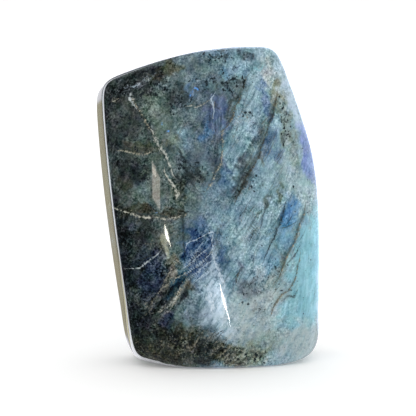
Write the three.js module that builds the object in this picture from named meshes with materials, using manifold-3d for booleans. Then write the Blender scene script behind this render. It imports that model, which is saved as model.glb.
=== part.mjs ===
// A polished labradorite: one natural stone, ground and polished all round, that stands upright on a sawn
// flat foot. Its whole surface is one closed formula. A ray from the middle of the stone meets a ring of
// flat side laps, a gently domed front, a flatter domed back and a bevel along the right edge. The four
// are blended, so that every edge between them is rounded, as a polishing wheel leaves it.

import * as THREE from 'three';
import { mergeVertices } from 'three/addons/utils/BufferGeometryUtils.js';
import Module from 'manifold-3d';

// Lengths are in millimetres and angles in degrees. +Z is up, the domed front faces -Y, and the origin is
// on the ground, under the middle of the stone.

// The middle of the stone, from which every ray starts. Its height is set by the saw cut of the foot.
const MIDDLE = new THREE.Vector3(-0.15, 0.5, 55.15);

// The side laps, in order round the outline as the front shows it. `around` is the way a lap faces,
// counterclockwise from +X, `back` is how far it tips towards the back, and `distance` is how far its
// plane lies from the middle.
const SIDE_LAPS = [
  // the right side, from just over the foot up to the shoulder
  { around: -5, back: 0, distance: 42.5 },
  { around: 5, back: 1, distance: 38 },
  { around: 13, back: 2, distance: 42 },
  { around: 21, back: 4, distance: 38.5 },
  // the top, falling from the peak on the right to the corner on the left
  { around: 90, back: 9, distance: 53 },
  { around: 100, back: 9, distance: 54.5 },
  { around: 108, back: 9, distance: 52 },
  { around: 118, back: 9, distance: 58 },
  // the long left side
  { around: 177, back: 0, distance: 43.5 },
  { around: 184, back: 0, distance: 37 },
  { around: 189, back: 0, distance: 36.5 },
  // the rounding under the stone, which the saw cut takes the rest of
  { around: 259, back: 0, distance: 58.5 },
  { around: 272, back: 0, distance: 56.5 },
  { around: 302, back: 0, distance: 64.5 },
];

// The domes: how far the crown stands from the middle, and the radii across and along the stone.
const FRONT_DOME = { crown: 21.5, acrossRadius: 74, alongRadius: 420 };
const BACK_DOME = { crown: 20.5, acrossRadius: 120, alongRadius: 420 };

// Both domes run along a line whose top leans this far to the left.
const DOME_LEAN = 9;

// The bevel on the front's right edge, turned this far from straight forward.
const RIGHT_BEVEL = { turn: 55, distance: 36 };

// How tightly neighbouring surfaces meet: the higher, the sharper the edge.
const LAP_SHARPNESS = 22;
const EDGE_SHARPNESS = 22;

// The rays start as a grid on a box of about the stone's own proportions. The grid's lines crowd towards
// the box's edges, where the surface turns quickest.
const RAY_BOX = { width: 78, depth: 42, height: 110 };
const RAY_COUNTS = { width: 28, depth: 14, height: 40 };
const RAY_CROWDING = 0.8;

// The block that the saw takes away under the foot.
const SAW_BLOCK = { width: 120, depth: 80, height: 20 };

// The unit vector that a side lap faces.
function lapNormal({ around, back }) {
  const turn = THREE.MathUtils.degToRad(around);
  const tip = THREE.MathUtils.degToRad(back);
  return new THREE.Vector3(Math.cos(turn) * Math.cos(tip), Math.sin(tip), Math.sin(turn) * Math.cos(tip));
}

// Joins several readings into one that is near the largest, and passes smoothly from one to the next.
function blend(readings, sharpness) {
  const total = readings.reduce((sum, reading) => sum + Math.max(0, reading) ** sharpness, 0);
  return total ** (1 / sharpness);
}

// How strongly a flat lap limits a ray: one over the distance to its plane along that ray.
function lapReading(ray, normal, distance) {
  return ray.dot(normal) / distance;
}

// How strongly a dome limits a ray. The dome is a paraboloid: at `along` and `across` from its crown line
// it has dropped by across squared over twice one radius, plus along squared over twice the other.
function domeReading(ray, { crown, acrossRadius, alongRadius }, towardsCrown) {
  const lean = THREE.MathUtils.degToRad(DOME_LEAN);
  const across = ray.x * Math.cos(lean) + ray.z * Math.sin(lean);
  const along = ray.z * Math.cos(lean) - ray.x * Math.sin(lean);
  const drop = across ** 2 / (2 * acrossRadius) + along ** 2 / (2 * alongRadius);
  return (Math.sqrt(towardsCrown ** 2 + 4 * crown * drop) + towardsCrown) / (2 * crown);
}

const lapNormals = SIDE_LAPS.map(lapNormal);
const bevelTurn = THREE.MathUtils.degToRad(RIGHT_BEVEL.turn);
const bevelNormal = new THREE.Vector3(Math.sin(bevelTurn), -Math.cos(bevelTurn), 0);

// The distance from the middle to the surface along a ray, which is a unit vector.
function surfaceDistance(ray) {
  const laps = SIDE_LAPS.map((lap, index) => lapReading(ray, lapNormals[index], lap.distance));
  const readings = [
    blend(laps, LAP_SHARPNESS),
    domeReading(ray, FRONT_DOME, -ray.y),
    domeReading(ray, BACK_DOME, ray.y),
    lapReading(ray, bevelNormal, RIGHT_BEVEL.distance),
  ];
  return 1 / blend(readings, EDGE_SHARPNESS);
}

// Moves a place on a -1 to 1 line towards the nearer end, so that evenly spaced places crowd there.
function crowd(place) {
  const reach = (RAY_CROWDING * Math.PI) / 2;
  return Math.sin(place * reach) / Math.sin(reach);
}

// A closed geometry that keeps only positions and shares its corners, as a solid needs.
function closedGeometry(geometry) {
  geometry.deleteAttribute('normal');
  geometry.deleteAttribute('uv');
  return mergeVertices(geometry);
}

// The whole stone about its middle, before the foot is sawn flat.
function uncutStone() {
  const { width, depth, height } = RAY_COUNTS;
  const geometry = closedGeometry(new THREE.BoxGeometry(2, 2, 2, width, depth, height));
  const positions = geometry.getAttribute('position');
  const ray = new THREE.Vector3();
  for (let index = 0; index < positions.count; index += 1) {
    ray.fromBufferAttribute(positions, index);
    ray.set(crowd(ray.x) * RAY_BOX.width, crowd(ray.y) * RAY_BOX.depth, crowd(ray.z) * RAY_BOX.height);
    ray.normalize();
    ray.multiplyScalar(surfaceDistance(ray));
    positions.setXYZ(index, ray.x, ray.y, ray.z);
  }
  return geometry;
}

// The block under the saw cut, about the stone's middle.
function sawnAwayBlock() {
  const { width, depth, height } = SAW_BLOCK;
  const block = new THREE.BoxGeometry(width, depth, height);
  block.translate(0, 0, -MIDDLE.z - height / 2);
  return closedGeometry(block);
}

const wasm = await Module();
wasm.setup();

// A solid that can be cut, from a closed geometry.
function solidFrom(geometry) {
  const vertProperties = new Float32Array(geometry.getAttribute('position').array);
  const triVerts = new Uint32Array(geometry.getIndex().array);
  return new wasm.Manifold(new wasm.Mesh({ numProp: 3, vertProperties, triVerts }));
}

// A geometry to show, from a solid.
function geometryFrom(solid) {
  const { vertProperties, triVerts } = solid.getMesh();
  const geometry = new THREE.BufferGeometry();
  geometry.setAttribute('position', new THREE.BufferAttribute(vertProperties, 3));
  geometry.setIndex(new THREE.BufferAttribute(triVerts, 1));
  geometry.computeVertexNormals();
  return geometry;
}

// The polish of the stone: dark blue-grey, close to a mirror.
const polishedStone = new THREE.MeshStandardMaterial({ color: 0x3d4653, roughness: 0.08, metalness: 0 });

const sawnStone = solidFrom(uncutStone()).subtract(solidFrom(sawnAwayBlock()));
const stone = new THREE.Mesh(geometryFrom(sawnStone), polishedStone);
stone.name = 'labradorite_stone';
stone.position.copy(MIDDLE);

const labradorite = new THREE.Group();
labradorite.add(stone);

export default labradorite;
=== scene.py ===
"""A polished labradorite on a pale floor: its fine surface, its finish, and the studio it stands in.

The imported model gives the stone's place and size. What describes the stone is written in millimetres of a
stone 110 mm tall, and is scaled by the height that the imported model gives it. Everything else is in metres.
"""

from __future__ import annotations

import logging
import math
from dataclasses import dataclass, field
from enum import Enum
from functools import cache
from typing import Iterable, Iterator, Sequence

import bmesh
import bpy
import numpy as np
from mathutils import Matrix, Vector


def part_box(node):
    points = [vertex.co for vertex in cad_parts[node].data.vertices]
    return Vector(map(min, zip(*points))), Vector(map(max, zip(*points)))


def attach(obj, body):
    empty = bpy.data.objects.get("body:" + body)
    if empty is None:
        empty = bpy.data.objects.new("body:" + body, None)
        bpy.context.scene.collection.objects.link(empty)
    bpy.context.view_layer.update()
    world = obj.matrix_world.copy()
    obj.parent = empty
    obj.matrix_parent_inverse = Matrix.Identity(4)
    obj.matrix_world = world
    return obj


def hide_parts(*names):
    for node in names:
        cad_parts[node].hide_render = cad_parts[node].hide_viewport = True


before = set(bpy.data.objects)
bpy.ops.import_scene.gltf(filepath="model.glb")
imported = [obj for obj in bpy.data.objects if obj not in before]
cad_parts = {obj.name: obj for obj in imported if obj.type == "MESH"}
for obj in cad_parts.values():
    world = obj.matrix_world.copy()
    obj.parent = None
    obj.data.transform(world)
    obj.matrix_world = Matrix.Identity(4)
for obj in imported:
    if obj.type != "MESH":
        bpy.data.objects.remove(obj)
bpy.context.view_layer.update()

LOG = logging.getLogger("labradorite")
NODE = "labradorite_stone"
BODY = "root"

# The height, in millimetres, at which the stone's own measures below are written.
WRITTEN_HEIGHT = 110.0

# A screen's colours as linear light are its own colours to this power.
SCREEN_GAMMA = 2.2

# Red, green and blue.
Colour = tuple[float, float, float]

# To the right, to the back and up; or, on a line across the front, to the right, up and a half width.
Measures = tuple[float, float, float]


class Tint(Enum):
    """The colours of the stone and the floor, as they look on a screen; among them are a painted rim sheen
    and a painted window glow.
    """

    NIGHT = "1a2125"
    CHARCOAL = "2c3233"
    COAL = "3f4746"
    SLATE_GREEN = "4c5955"
    SLATE = "5a6b6c"
    STEEL_DARK = "657a84"
    STEEL = "6d8a9a"
    STEEL_LIGHT = "7e9ca9"
    ICE = "8daab4"
    PALE_ICE = "9db4ba"
    PALE_GREY = "a2afb0"
    # milky pale blue of veins and veils, also used as a painted glow round the lower window's reflection
    MILKY_BLUE_AND_GLOW = "b4c8d8"
    SAGE = "65756e"
    SAGE_PALE = "80918d"
    VIOLET_GREY = "5f6b7a"
    SHADOW_BLUE = "43515a"
    # a painted pale sheen along the right rim
    RIM_SHEEN = "ccdcf0"
    OLIVE_BLACK = "33352b"
    OLIVE_DARK = "3b3c33"
    OLIVE = "4e5447"
    OLIVE_GREY = "827f70"
    OLIVE_PALE = "7f8777"
    BROWN_DARK = "33322b"
    BROWN_GREY = "5b594e"
    TAN = "c4bca4"
    SILVER = "c4cacb"
    FROST = "e4eaf0"
    VIOLET = "5c6e90"
    LAVENDER = "768bc0"
    NAVY = "263244"
    BLUE_DEEP = "2c466e"
    BLUE = "4d6a88"
    BLUE_SOFT = "6680a2"
    BLUE_BRIGHT = "4c80b0"
    BLUE_LIGHT = "6b96ae"
    BLUE_ELECTRIC = "5f9cee"
    TEAL_DARK = "274c62"
    TURQUOISE = "8abecb"
    TURQUOISE_BRIGHT = "80c2d4"
    FLOOR = "fdfdfc"

    @property
    def screen(self) -> Colour:
        """The colour as a screen has it, red, green and blue from 0 to 1."""
        return tuple(int(self.value[start:start + 2], 16) / 255 for start in (0, 2, 4))

    @property
    def linear(self) -> Colour:
        """The colour as linear light, red, green and blue from 0 to 1."""
        return tuple(channel**SCREEN_GAMMA for channel in self.screen)


# ---- Shader maths ----


class Wire:
    """A value on its way between nodes. Sums of wires and numbers add the Math nodes that work them out."""

    def __init__(self, bench: NodeBench, socket: bpy.types.NodeSocket) -> None:
        """Keeps the bench for new nodes and the output socket that gives the value."""
        self.bench = bench
        self.socket = socket

    def __add__(self, other: Wire | float) -> Wire:
        """This plus other."""
        return self.bench.math("ADD", self, other)

    def __radd__(self, other: float) -> Wire:
        """A number plus this."""
        return self.bench.math("ADD", other, self)

    def __sub__(self, other: Wire | float) -> Wire:
        """This less other."""
        return self.bench.math("SUBTRACT", self, other)

    def __rsub__(self, other: float) -> Wire:
        """A number less this."""
        return self.bench.math("SUBTRACT", other, self)

    def __mul__(self, other: Wire | float) -> Wire:
        """This times other."""
        return self.bench.math("MULTIPLY", self, other)

    def __rmul__(self, other: float) -> Wire:
        """A number times this."""
        return self.bench.math("MULTIPLY", other, self)

    def __truediv__(self, other: Wire | float) -> Wire:
        """This divided by other."""
        return self.bench.math("DIVIDE", self, other)

    def __abs__(self) -> Wire:
        """The size of this, without its sign."""
        return self.bench.math("ABSOLUTE", self)

    def at_least(self, other: Wire | float) -> Wire:
        """The larger of this and other."""
        return self.bench.math("MAXIMUM", self, other)

    def eased(self, low: Wire | float, high: Wire | float, start: float = 0.0, end: float = 1.0) -> Wire:
        """This carried from low to high over to start to end, with soft ends and nothing outside."""
        settings = {"interpolation_type": "SMOOTHSTEP"}
        return self.bench.node("ShaderNodeMapRange", settings, (self, low, high, start, end))


Source = Wire | float | Sequence[float]


class NodeBench:
    """Adds nodes to one tree and links them."""

    def __init__(self, tree: bpy.types.NodeTree) -> None:
        """Keeps the node tree to work in, and clears it."""
        self.tree = tree
        tree.nodes.clear()

    def node(
        self, kind: str, settings: dict, inputs: dict | Iterable[Source], output: int | str = 0
    ) -> Wire | None:
        """Adds one node.

        Args:
            kind: the node's type.
            settings: what is set on the node before its sockets. The key `stops` fills a ramp.
            inputs: values or links of the sockets, by name or number, or in order.
            output: the output that is wanted, by name or number.

        Returns:
            The wanted output, or nothing from a node without one.
        """
        made = self.tree.nodes.new(kind)
        for name, value in settings.items():
            if name == "stops":
                self._fill_ramp(made.color_ramp, value)
            else:
                setattr(made, name, value)
        pairs = inputs.items() if isinstance(inputs, dict) else enumerate(inputs)
        for name, value in pairs:
            self._feed(made.inputs[name], value)
        return Wire(self, made.outputs[output]) if made.outputs else None

    def _feed(self, socket: bpy.types.NodeSocket, value: Source) -> None:
        """Links a wire to a socket, or sets a plain value on it.

        Args:
            socket: the input socket.
            value: the wire or value.
        """
        if isinstance(value, Wire):
            self.tree.links.new(value.socket, socket)
        elif socket.type == "RGBA":
            socket.default_value = (*value, 1.0)
        else:
            socket.default_value = value

    @staticmethod
    def _fill_ramp(ramp: bpy.types.ColorRamp, stops: Sequence[tuple[float, Colour]]) -> None:
        """Gives a ramp its stops.

        Args:
            ramp: the ramp, with its two first stops.
            stops: a place from 0 to 1 and a colour for each stop, in order.
        """
        while len(ramp.elements) < len(stops):
            ramp.elements.new(1.0)
        for element, (place, colour) in zip(ramp.elements, stops):
            element.position = place
            element.color = (*colour, 1.0)

    def math(self, operation: str, *terms: Source) -> Wire:
        """One Math node on values."""
        return self.node("ShaderNodeMath", {"operation": operation}, terms)

    def vector(self, operation: str, *terms: Source) -> Wire:
        """One Vector Math node on vectors or colours, with a vector result."""
        return self.node("ShaderNodeVectorMath", {"operation": operation}, terms)

    def scaled(self, vector: Source, factor: Source) -> Wire:
        """A vector or colour times one value."""
        return self.node("ShaderNodeVectorMath", {"operation": "SCALE"}, {0: vector, "Scale": factor})

    def mixed(self, factor: Source, below: Source, above: Source) -> Wire:
        """Two colours mixed; the factor says how much of the upper one shows, from 0 to 1."""
        return self.node("ShaderNodeMix", {"data_type": "RGBA"}, {0: factor, 6: below, 7: above}, 2)

    def clouds(self, place: Source, pitch: float, detail: float = 3, crispness: float = 0.5) -> Wire:
        """Soft noise from about 0 to 1, with patches a pitch apart and finer layers of some crispness."""
        inputs = {"Vector": place, "Scale": 1 / pitch, "Detail": detail, "Roughness": crispness}
        return self.node("ShaderNodeTexNoise", {}, inputs)

    def hues(self, place: Source, pitch: float, detail: float = 3) -> Wire:
        """Soft noise as a vector of three separate readings from about −0.5 to 0.5."""
        inputs = {"Vector": place, "Scale": 1 / pitch, "Detail": detail}
        return self.vector("SUBTRACT", self.node("ShaderNodeTexNoise", {}, inputs, "Color"), (0.5, 0.5, 0.5))

    def along(self, place: Source, lean: float, stretch: float) -> Wire:
        """Stretches what follows along a line of the front that leans to the right by some degrees."""
        inputs = {"Vector": place, "Rotation": (0, math.radians(lean), 0), "Scale": (1, 1, stretch)}
        return self.node("ShaderNodeMapping", {"vector_type": "TEXTURE"}, inputs)

    def parts(self, vector: Source) -> tuple[Wire, Wire, Wire]:
        """Takes a vector apart.

        Args:
            vector: the vector.

        Returns:
            Its first, second and third part.
        """
        first = self.node("ShaderNodeSeparateXYZ", {}, (vector,))
        outputs = first.socket.node.outputs
        return first, Wire(self, outputs[1]), Wire(self, outputs[2])


# ---- What is in the stone ----

# Where the crowns of the front and of the back are, from the middle of the stone's thickness.
FRONT = -17.0
BACK = 17.0

# The lowest reading of a pool, far outside it.
LOWEST = -3.0


# How wide and strong each layer of ripples is against the one before, and how much its waves differ.
FINER = 0.5
WAVE_SPREAD = (0.7, 1.4)


class Ripple:
    """Smooth irregular noise, the same on every run, made of waves that run in many directions."""

    def __init__(self, seed: int, pitch: float, layers: int = 3, waves: int = 7) -> None:
        """Draws the waves.

        Args:
            seed: the number that settles the pattern.
            pitch: the wavelength of the widest layer.
            layers: how many layers there are, each finer and weaker than the one before.
            waves: how many waves cross in each layer.
        """
        draw = np.random.default_rng(seed)
        self.rows: list[np.ndarray] = []
        self.phases: list[np.ndarray] = []
        self.strengths: list[float] = []
        for layer in range(layers):
            ways = draw.normal(size=(waves, 3))
            ways /= np.linalg.norm(ways, axis=1)[:, None]
            lengths = pitch * FINER**layer * draw.uniform(*WAVE_SPREAD, size=(waves, 1))
            self.rows.append(ways * 2 * math.pi / lengths)
            self.phases.append(draw.uniform(0, 2 * math.pi, size=waves))
            self.strengths.append(FINER**layer * math.sqrt(2 / waves))

    def __call__(self, points: np.ndarray) -> np.ndarray:
        """The noise at some points, one a row, mostly from −1 to 1."""
        parts = zip(self.rows, self.phases, self.strengths)
        return sum(power * np.sin(points @ rows.T + phases).sum(axis=1) for rows, phases, power in parts)


@dataclass(frozen=True)
class Pool:
    """A rounded pool of colour: an ellipsoid in the stone.

    Attributes:
        x: its middle, to the right.
        z: its middle, over the foot.
        width: its half width.
        height: its half height.
        strength: how much of the colour shows in its middle.
        lean: how far its top leans to the right, in degrees.
        softness: how wide its edge is, in parts of its size.
        y: its middle, from front to back.
        depth: its half depth.
    """

    x: float
    z: float
    width: float
    height: float
    strength: float = 0.8
    lean: float = 0.0
    softness: float = 0.6
    y: float = FRONT
    depth: float = 13.0

    def reading(self, points: np.ndarray) -> np.ndarray:
        """How deep some points lie in the pool.

        Args:
            points: one point a row.

        Returns:
            Less than −1 outside, 0 on its edge, and inside at most the reading that eases to its strength.
        """
        lean = math.radians(self.lean)
        off = points - np.array((self.x, self.y, self.z))
        across = (off[:, 0] * math.cos(lean) - off[:, 2] * math.sin(lean)) / self.width
        along = (off[:, 2] * math.cos(lean) + off[:, 0] * math.sin(lean)) / self.height
        through = off[:, 1] / self.depth
        inward = (1 - np.sqrt(across**2 + along**2 + through**2)) / self.softness
        # the reading at which the eased edge has reached the strength
        fullest = -2 * math.sin(math.asin(1 - 2 * min(self.strength, 1)) / 3)
        return np.clip(inward, LOWEST, fullest)


def deepest(pools: Sequence[Pool], points: np.ndarray) -> np.ndarray:
    """How deep some points, one a row, lie in the pool that holds each of them best."""
    return np.max([pool.reading(points) for pool in pools], axis=0)


@dataclass(frozen=True)
class Layer:
    """One kind of mineral, or a painted sheen, which lies over the kinds before it.

    Attributes:
        tint: its colour.
        pools: where it is.
        flash: how metal-like it shines where it is full.
        ragged: how uneven its edges are.
    """

    tint: Tint
    pools: tuple[Pool, ...]
    flash: float = 0.0
    ragged: float = 1.0


# The ground colour from the left edge to the right edge, at these millimetres to the right of the middle. Its
# darkening to the left is partly the stone's own tone and partly painted shade of the left side, which faces
# the dark part of the room.
GROUND_WITH_LEFT_SHADE = (
    (-40, Tint.CHARCOAL),
    (-32, Tint.COAL),
    (-25, Tint.SLATE_GREEN),
    (-17, Tint.SLATE),
    (-9, Tint.STEEL_DARK),
    (1, Tint.STEEL),
    (10, Tint.STEEL_LIGHT),
    (22, Tint.ICE),
    (36, Tint.PALE_ICE),
)

LAYERS = (
    Layer(Tint.SLATE, (
        Pool(-5, 103, 6, 3, 0.6), Pool(0, 96.5, 9, 2.5, 0.45), Pool(-26, 61.5, 2.8, 5, 0.9),
        Pool(-20, 98.4, 3, 2, 0.8), Pool(-10, 60, 4, 5, 0.7), Pool(-7, 67.5, 2.4, 3.5, 0.6),
        Pool(9, 75.3, 2.2, 4, 0.6, 35), Pool(6.8, 68.5, 2.2, 5, 0.8, 35), Pool(-9, 84, 4, 6, 0.4),
        Pool(21.4, 38, 2, 3.2, 0.8, 20), Pool(-7, 14, 3.5, 3.5, 0.7),
        Pool(-10, 40, 26, 20, 0.6, 20, 1, BACK), Pool(5, 85, 20, 14, 0.5, -20, 1, BACK),
        Pool(-38, 60, 8, 12, 0.7, 0, 1, 0, 9), Pool(0, 108, 10, 5, 0.6, 0, 1, 2, 9),
        Pool(36, 58, 12, 66, 0.85, -8, 0.5, 11, 13),
    )),
    Layer(Tint.STEEL_DARK, (
        Pool(1, 58, 3, 4, 0.6), Pool(-6, 18, 4.5, 5, 0.7), Pool(-2, 74, 3, 6, 0.6, 10),
        Pool(21.5, 53, 1.6, 3, 0.7, 20), Pool(12, 30, 5, 3, 0.4), Pool(38, 44, 9, 12, 0.7, 0, 1, 9, 9),
    )),
    Layer(Tint.STEEL_LIGHT, (
        Pool(-10.3, 80.1, 2.8, 2.8, 0.85), Pool(-14, 77, 2, 2, 0.5), Pool(5.5, 79, 4, 9, 0.7, 28),
        Pool(12.5, 65, 3.5, 6, 0.7, 30), Pool(0, 47, 4, 5, 0.6), Pool(6, 103, 5, 3, 0.5),
        Pool(20, 60, 8, 26, 0.7, 20, 1, BACK), Pool(37, 72, 7, 12, 0.6, -20, 1, 5, 9),
        Pool(-20, 104, 8, 4, 0.5, 0, 1, 4, 8),
    )),
    Layer(Tint.ICE, (
        Pool(8, 43, 6, 7, 0.7), Pool(9.4, 50, 2.5, 3, 0.7), Pool(9, 88.5, 3.4, 7, 0.8, 35),
        Pool(7.5, 72, 3, 3, 0.3), Pool(19, 66, 4, 6, 0.5, 20), Pool(-2, 66, 9, 20, 0.6, -25, 1, BACK),
    )),
    Layer(Tint.PALE_ICE, (
        Pool(24, 64, 4, 7, 0.7), Pool(26.5, 57, 3, 4, 0.7), Pool(6, 21, 5, 6, 0.8), Pool(12, 17, 7, 3.5, 0.7),
        Pool(22, 11, 8, 6, 0.7), Pool(30, 14, 5, 10, 0.7),
    )),
    Layer(Tint.PALE_GREY, (
        Pool(17.3, 102, 2.4, 5, 0.9, -15), Pool(21.5, 97, 2, 6, 0.5, -25), Pool(14, 24, 5, 5, 0.7),
        Pool(9, 15, 8, 2.5, 0.4, -10), Pool(28, 45, 9, 5, 0.5, 0, 1, BACK),
    )),
    Layer(Tint.SAGE_PALE, (
        Pool(23, 83, 2.4, 10, 0.8, -10), Pool(19, 33, 2.5, 5, 0.5, 25), Pool(25.5, 76, 1.6, 8, 0.6, -14),
        Pool(14, 9, 8, 3.5, 0.6), Pool(-14, 77, 1.6, 1.6, 0.6),
    )),
    Layer(Tint.SAGE, (
        Pool(-22.3, 92.6, 2.8, 2.4, 0.95), Pool(-23.2, 87.5, 2.4, 4, 0.85), Pool(-20, 85, 3, 6, 0.5),
        Pool(-16.2, 79.1, 1.8, 1.5, 0.8), Pool(19, 60.9, 1.3, 2.6, 0.9, 30), Pool(-20.5, 49, 3.5, 2.5, 0.5),
        Pool(-26, 84, 9, 12, 0.6, 0, 1, BACK), Pool(-38, 84, 6, 7, 0.6, 0, 1, 5, 7),
    )),
    Layer(Tint.SLATE_GREEN, (
        Pool(-31, 61.5, 4, 4, 0.7), Pool(-28, 84, 1.9, 1.7, 0.8), Pool(-18.2, 89.3, 2, 2.2, 0.7),
        Pool(-16, 62, 2.4, 5, 0.8), Pool(-9.5, 13.8, 3.6, 3, 0.8), Pool(1.3, 90, 1.2, 5, 0.7, 25),
        Pool(13.5, 57, 0.9, 5, 0.6, 15), Pool(-14, 36.5, 2, 5, 0.6, 30),
    )),
    Layer(Tint.OLIVE_PALE, (
        Pool(20.9, 95.4, 1.5, 2.8, 0.9, -10), Pool(19.4, 90.5, 1, 3.5, 0.6), Pool(7, 5, 9, 4.5, 0.8),
        Pool(4, 8, 22, 5, 0.5, 0, 1, BACK),
    )),
    Layer(Tint.COAL, (
        Pool(-34, 88, 4, 9, 0.7, 20), Pool(-15.1, 93.5, 2.4, 2.8, 0.7), Pool(-13.5, 97.4, 1.1, 1.1, 0.7),
        Pool(-12.1, 67.6, 3.6, 3.8, 0.95, -35), Pool(-24.3, 94, 1.6, 1.3, 0.8), Pool(-22, 47, 5, 7, 0.5),
        Pool(-2.6, 8.6, 3.2, 4, 0.7, 45), Pool(37, 16, 9, 9, 0.7, 0, 1, 12, 9),
        Pool(32, 74, 9, 9, 0.6, 0, 1, 13, 8),
    )),
    Layer(Tint.CHARCOAL, (
        Pool(-28, 98, 3.4, 9, 0.8, 62), Pool(-36, 90, 3, 8, 0.7, 10), Pool(-29, 46.5, 8, 6.2, 0.95),
        Pool(-24, 43, 5, 5, 0.5), Pool(-30, 26, 6, 14, 0.85, -8), Pool(-24, 19, 7, 7, 0.8, -10),
        Pool(-28.5, 69.8, 3.2, 3.2, 0.7), Pool(-36, 40, 9, 22, 0.6, 0, 1, BACK),
    )),
    Layer(Tint.OLIVE_BLACK, (
        Pool(-20, 7, 15, 8.5, 0.95, 0, 0.5), Pool(-7, 5, 8, 4, 0.7, 0),
        Pool(-20, 14, 20, 12, 0.7, 0, 1, BACK),
    )),
    Layer(Tint.OLIVE_DARK, (
        Pool(-20.5, 102, 1.7, 4, 0.8, 64), Pool(-27.5, 55.8, 8.5, 1.7, 0.85), Pool(-17.6, 55.5, 4, 1.6, 0.8),
        Pool(-31.5, 64.8, 2.4, 1.8, 0.5), Pool(-29, 77.3, 4, 1.6, 0.6), Pool(-14, 10, 5, 3, 0.5, 40),
        Pool(22, 92, 9, 6, 0.5, 30, 1, BACK), Pool(-38, 12, 6, 7, 0.6, 0, 1, 0, 9),
    )),
    Layer(Tint.OLIVE, (
        Pool(-16.4, 103.2, 2.7, 2.6, 0.9, 0, 0.5),
    ), 0, 0.45),
    Layer(Tint.OLIVE, (
        Pool(-25.4, 76.8, 4, 1.6, 0.6), Pool(-17.5, 77, 2.5, 1.2, 0.5),
        Pool(-13, 63, 1.5, 3, 0.5),
    )),
    Layer(Tint.BROWN_GREY, (
        Pool(-11.6, 28.8, 1.5, 4.6, 0.9, 28), Pool(-16.5, 35.5, 1.5, 3, 0.7, 20),
        Pool(-18.4, 30, 2.2, 5, 0.7, 36), Pool(-19.4, 18.6, 1.3, 3.4, 0.6, 45), Pool(2, 5, 5, 3, 0.4),
        Pool(16, 76, 0.9, 4, 0.6, 30),
    )),
    Layer(Tint.OLIVE_GREY, (
        Pool(-17.4, 32.6, 0.6, 4.4, 0.3, 30), Pool(-13.8, 28.6, 0.6, 4.6, 0.35, 31),
        Pool(-17.2, 22.6, 0.6, 3.0, 0.4, 42), Pool(-13.5, 54.8, 0.6, 1.5, 0.95, 5),
    ), 0, 1.5),
    Layer(Tint.NIGHT, (
        Pool(-34, 40, 4, 18, 0.9, -8), Pool(-28, 17, 3.5, 8, 0.5, -15), Pool(-34, 50, 2.4, 5, 0.5),
        Pool(-17.5, 26.6, 0.6, 5, 0.7, 38), Pool(-12.6, 25, 0.6, 4, 0.7, 34), Pool(-19, 15, 4, 1.6, 0.6, 60),
        Pool(-9, 5.6, 5, 1.6, 0.6),
    )),
    Layer(Tint.NAVY, (
        Pool(-24, 32.6, 5, 7, 0.9, -10), Pool(-17.6, 19, 2, 3, 0.85, 50),
        Pool(-12, 30, 12, 7, 0.7, 40, 1, BACK), Pool(-38, 36, 5, 9, 0.7, 0, 1, 4, 8),
    ), 0.15),
    Layer(Tint.TEAL_DARK, (
        Pool(-14.9, 30.4, 1.6, 5.4, 0.95, 33, 0.35), Pool(8, 24, 12, 7, 0.6, 50, 1, BACK),
    ), 0.15, 0.6),
    Layer(Tint.SHADOW_BLUE, (
        Pool(-2.2, 75.4, 2.4, 5.4, 0.8, 6), Pool(-2.4, 70, 1.8, 3, 0.6), Pool(-6.6, 93, 3.4, 4, 0.45),
        Pool(2.4, 93, 2, 4, 0.45, 20), Pool(7.6, 72.6, 1.3, 4.6, 0.8, 35), Pool(4.8, 67, 1.1, 4, 0.7, 35),
        Pool(12.2, 80, 1.2, 4, 0.5, 30), Pool(-7, 80, 3, 5, 0.4), Pool(-8.6, 74, 3, 3, 0.5),
        Pool(17.4, 86.4, 0.8, 3, 0.5, 25), Pool(1.6, 86, 0.9, 3.4, 0.5, 32),
    ), 0.05, 0.8),
    Layer(Tint.VIOLET_GREY, (
        Pool(9.4, 29, 3.6, 2.6, 0.8, 50), Pool(4.6, 32.8, 0.9, 3.4, 0.7, 20), Pool(-3.4, 92.4, 4, 2.2, 0.6),
        Pool(7.4, 66.5, 1.2, 4, 0.5, 35), Pool(-29.5, 51, 2.4, 1.6, 0.25), Pool(0.5, 72, 1, 3, 0.5),
    ), 0.1),
    Layer(Tint.VIOLET, (
        Pool(-3, 87, 3.2, 6.4, 0.85, 6), Pool(2, 49, 4, 12, 0.6, 35, 1, BACK),
        Pool(37, 50, 5, 8, 0.5, 0, 1, 8, 8),
    ), 0.15),
    Layer(Tint.BLUE_SOFT, (
        Pool(15.9, 91, 1.7, 6.6, 0.8, -4), Pool(19, 73, 3, 2, 0.5), Pool(-10.8, 95, 1.8, 2.6, 0.5),
        Pool(20.6, 80, 1.2, 4, 0.3),
    ), 0.12),
    Layer(Tint.BLUE_LIGHT, (
        Pool(16.2, 37.2, 3.2, 3.8, 0.75, 10), Pool(22.4, 44.4, 3, 3.8, 0.8), Pool(17.6, 46, 1.4, 3, 0.5, 20),
        Pool(28.6, 48, 2.6, 5, 0.6), Pool(1.7, 100.9, 1.6, 1.4, 0.5), Pool(24.8, 13, 1.5, 1.7, 0.8),
    ), 0.12),
    Layer(Tint.BLUE, (
        Pool(-7.8, 41.6, 5.6, 9.6, 0.95, 4, 0.3), Pool(-9, 48.4, 3.8, 4.4, 0.9, 0, 0.4),
        Pool(0.3, 68.7, 1.5, 3.7, 0.9, 12), Pool(-0.4, 38.6, 1.8, 4, 0.85),
        Pool(16.5, 77.3, 2.1, 3.8, 0.7, 25), Pool(-4.2, 82.4, 1.6, 2.6, 0.5),
        Pool(8, 60, 5, 16, 0.75, 35, 1, BACK), Pool(-38, 46, 4, 7, 0.7, 0, 0.8, 4, 7),
        Pool(33, 84, 5, 7, 0.6, -15, 1, 6, 8), Pool(10, 107, 7, 4, 0.6, 0, 1, 8, 8),
    ), 0.15),
    Layer(Tint.STEEL_DARK, (
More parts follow.
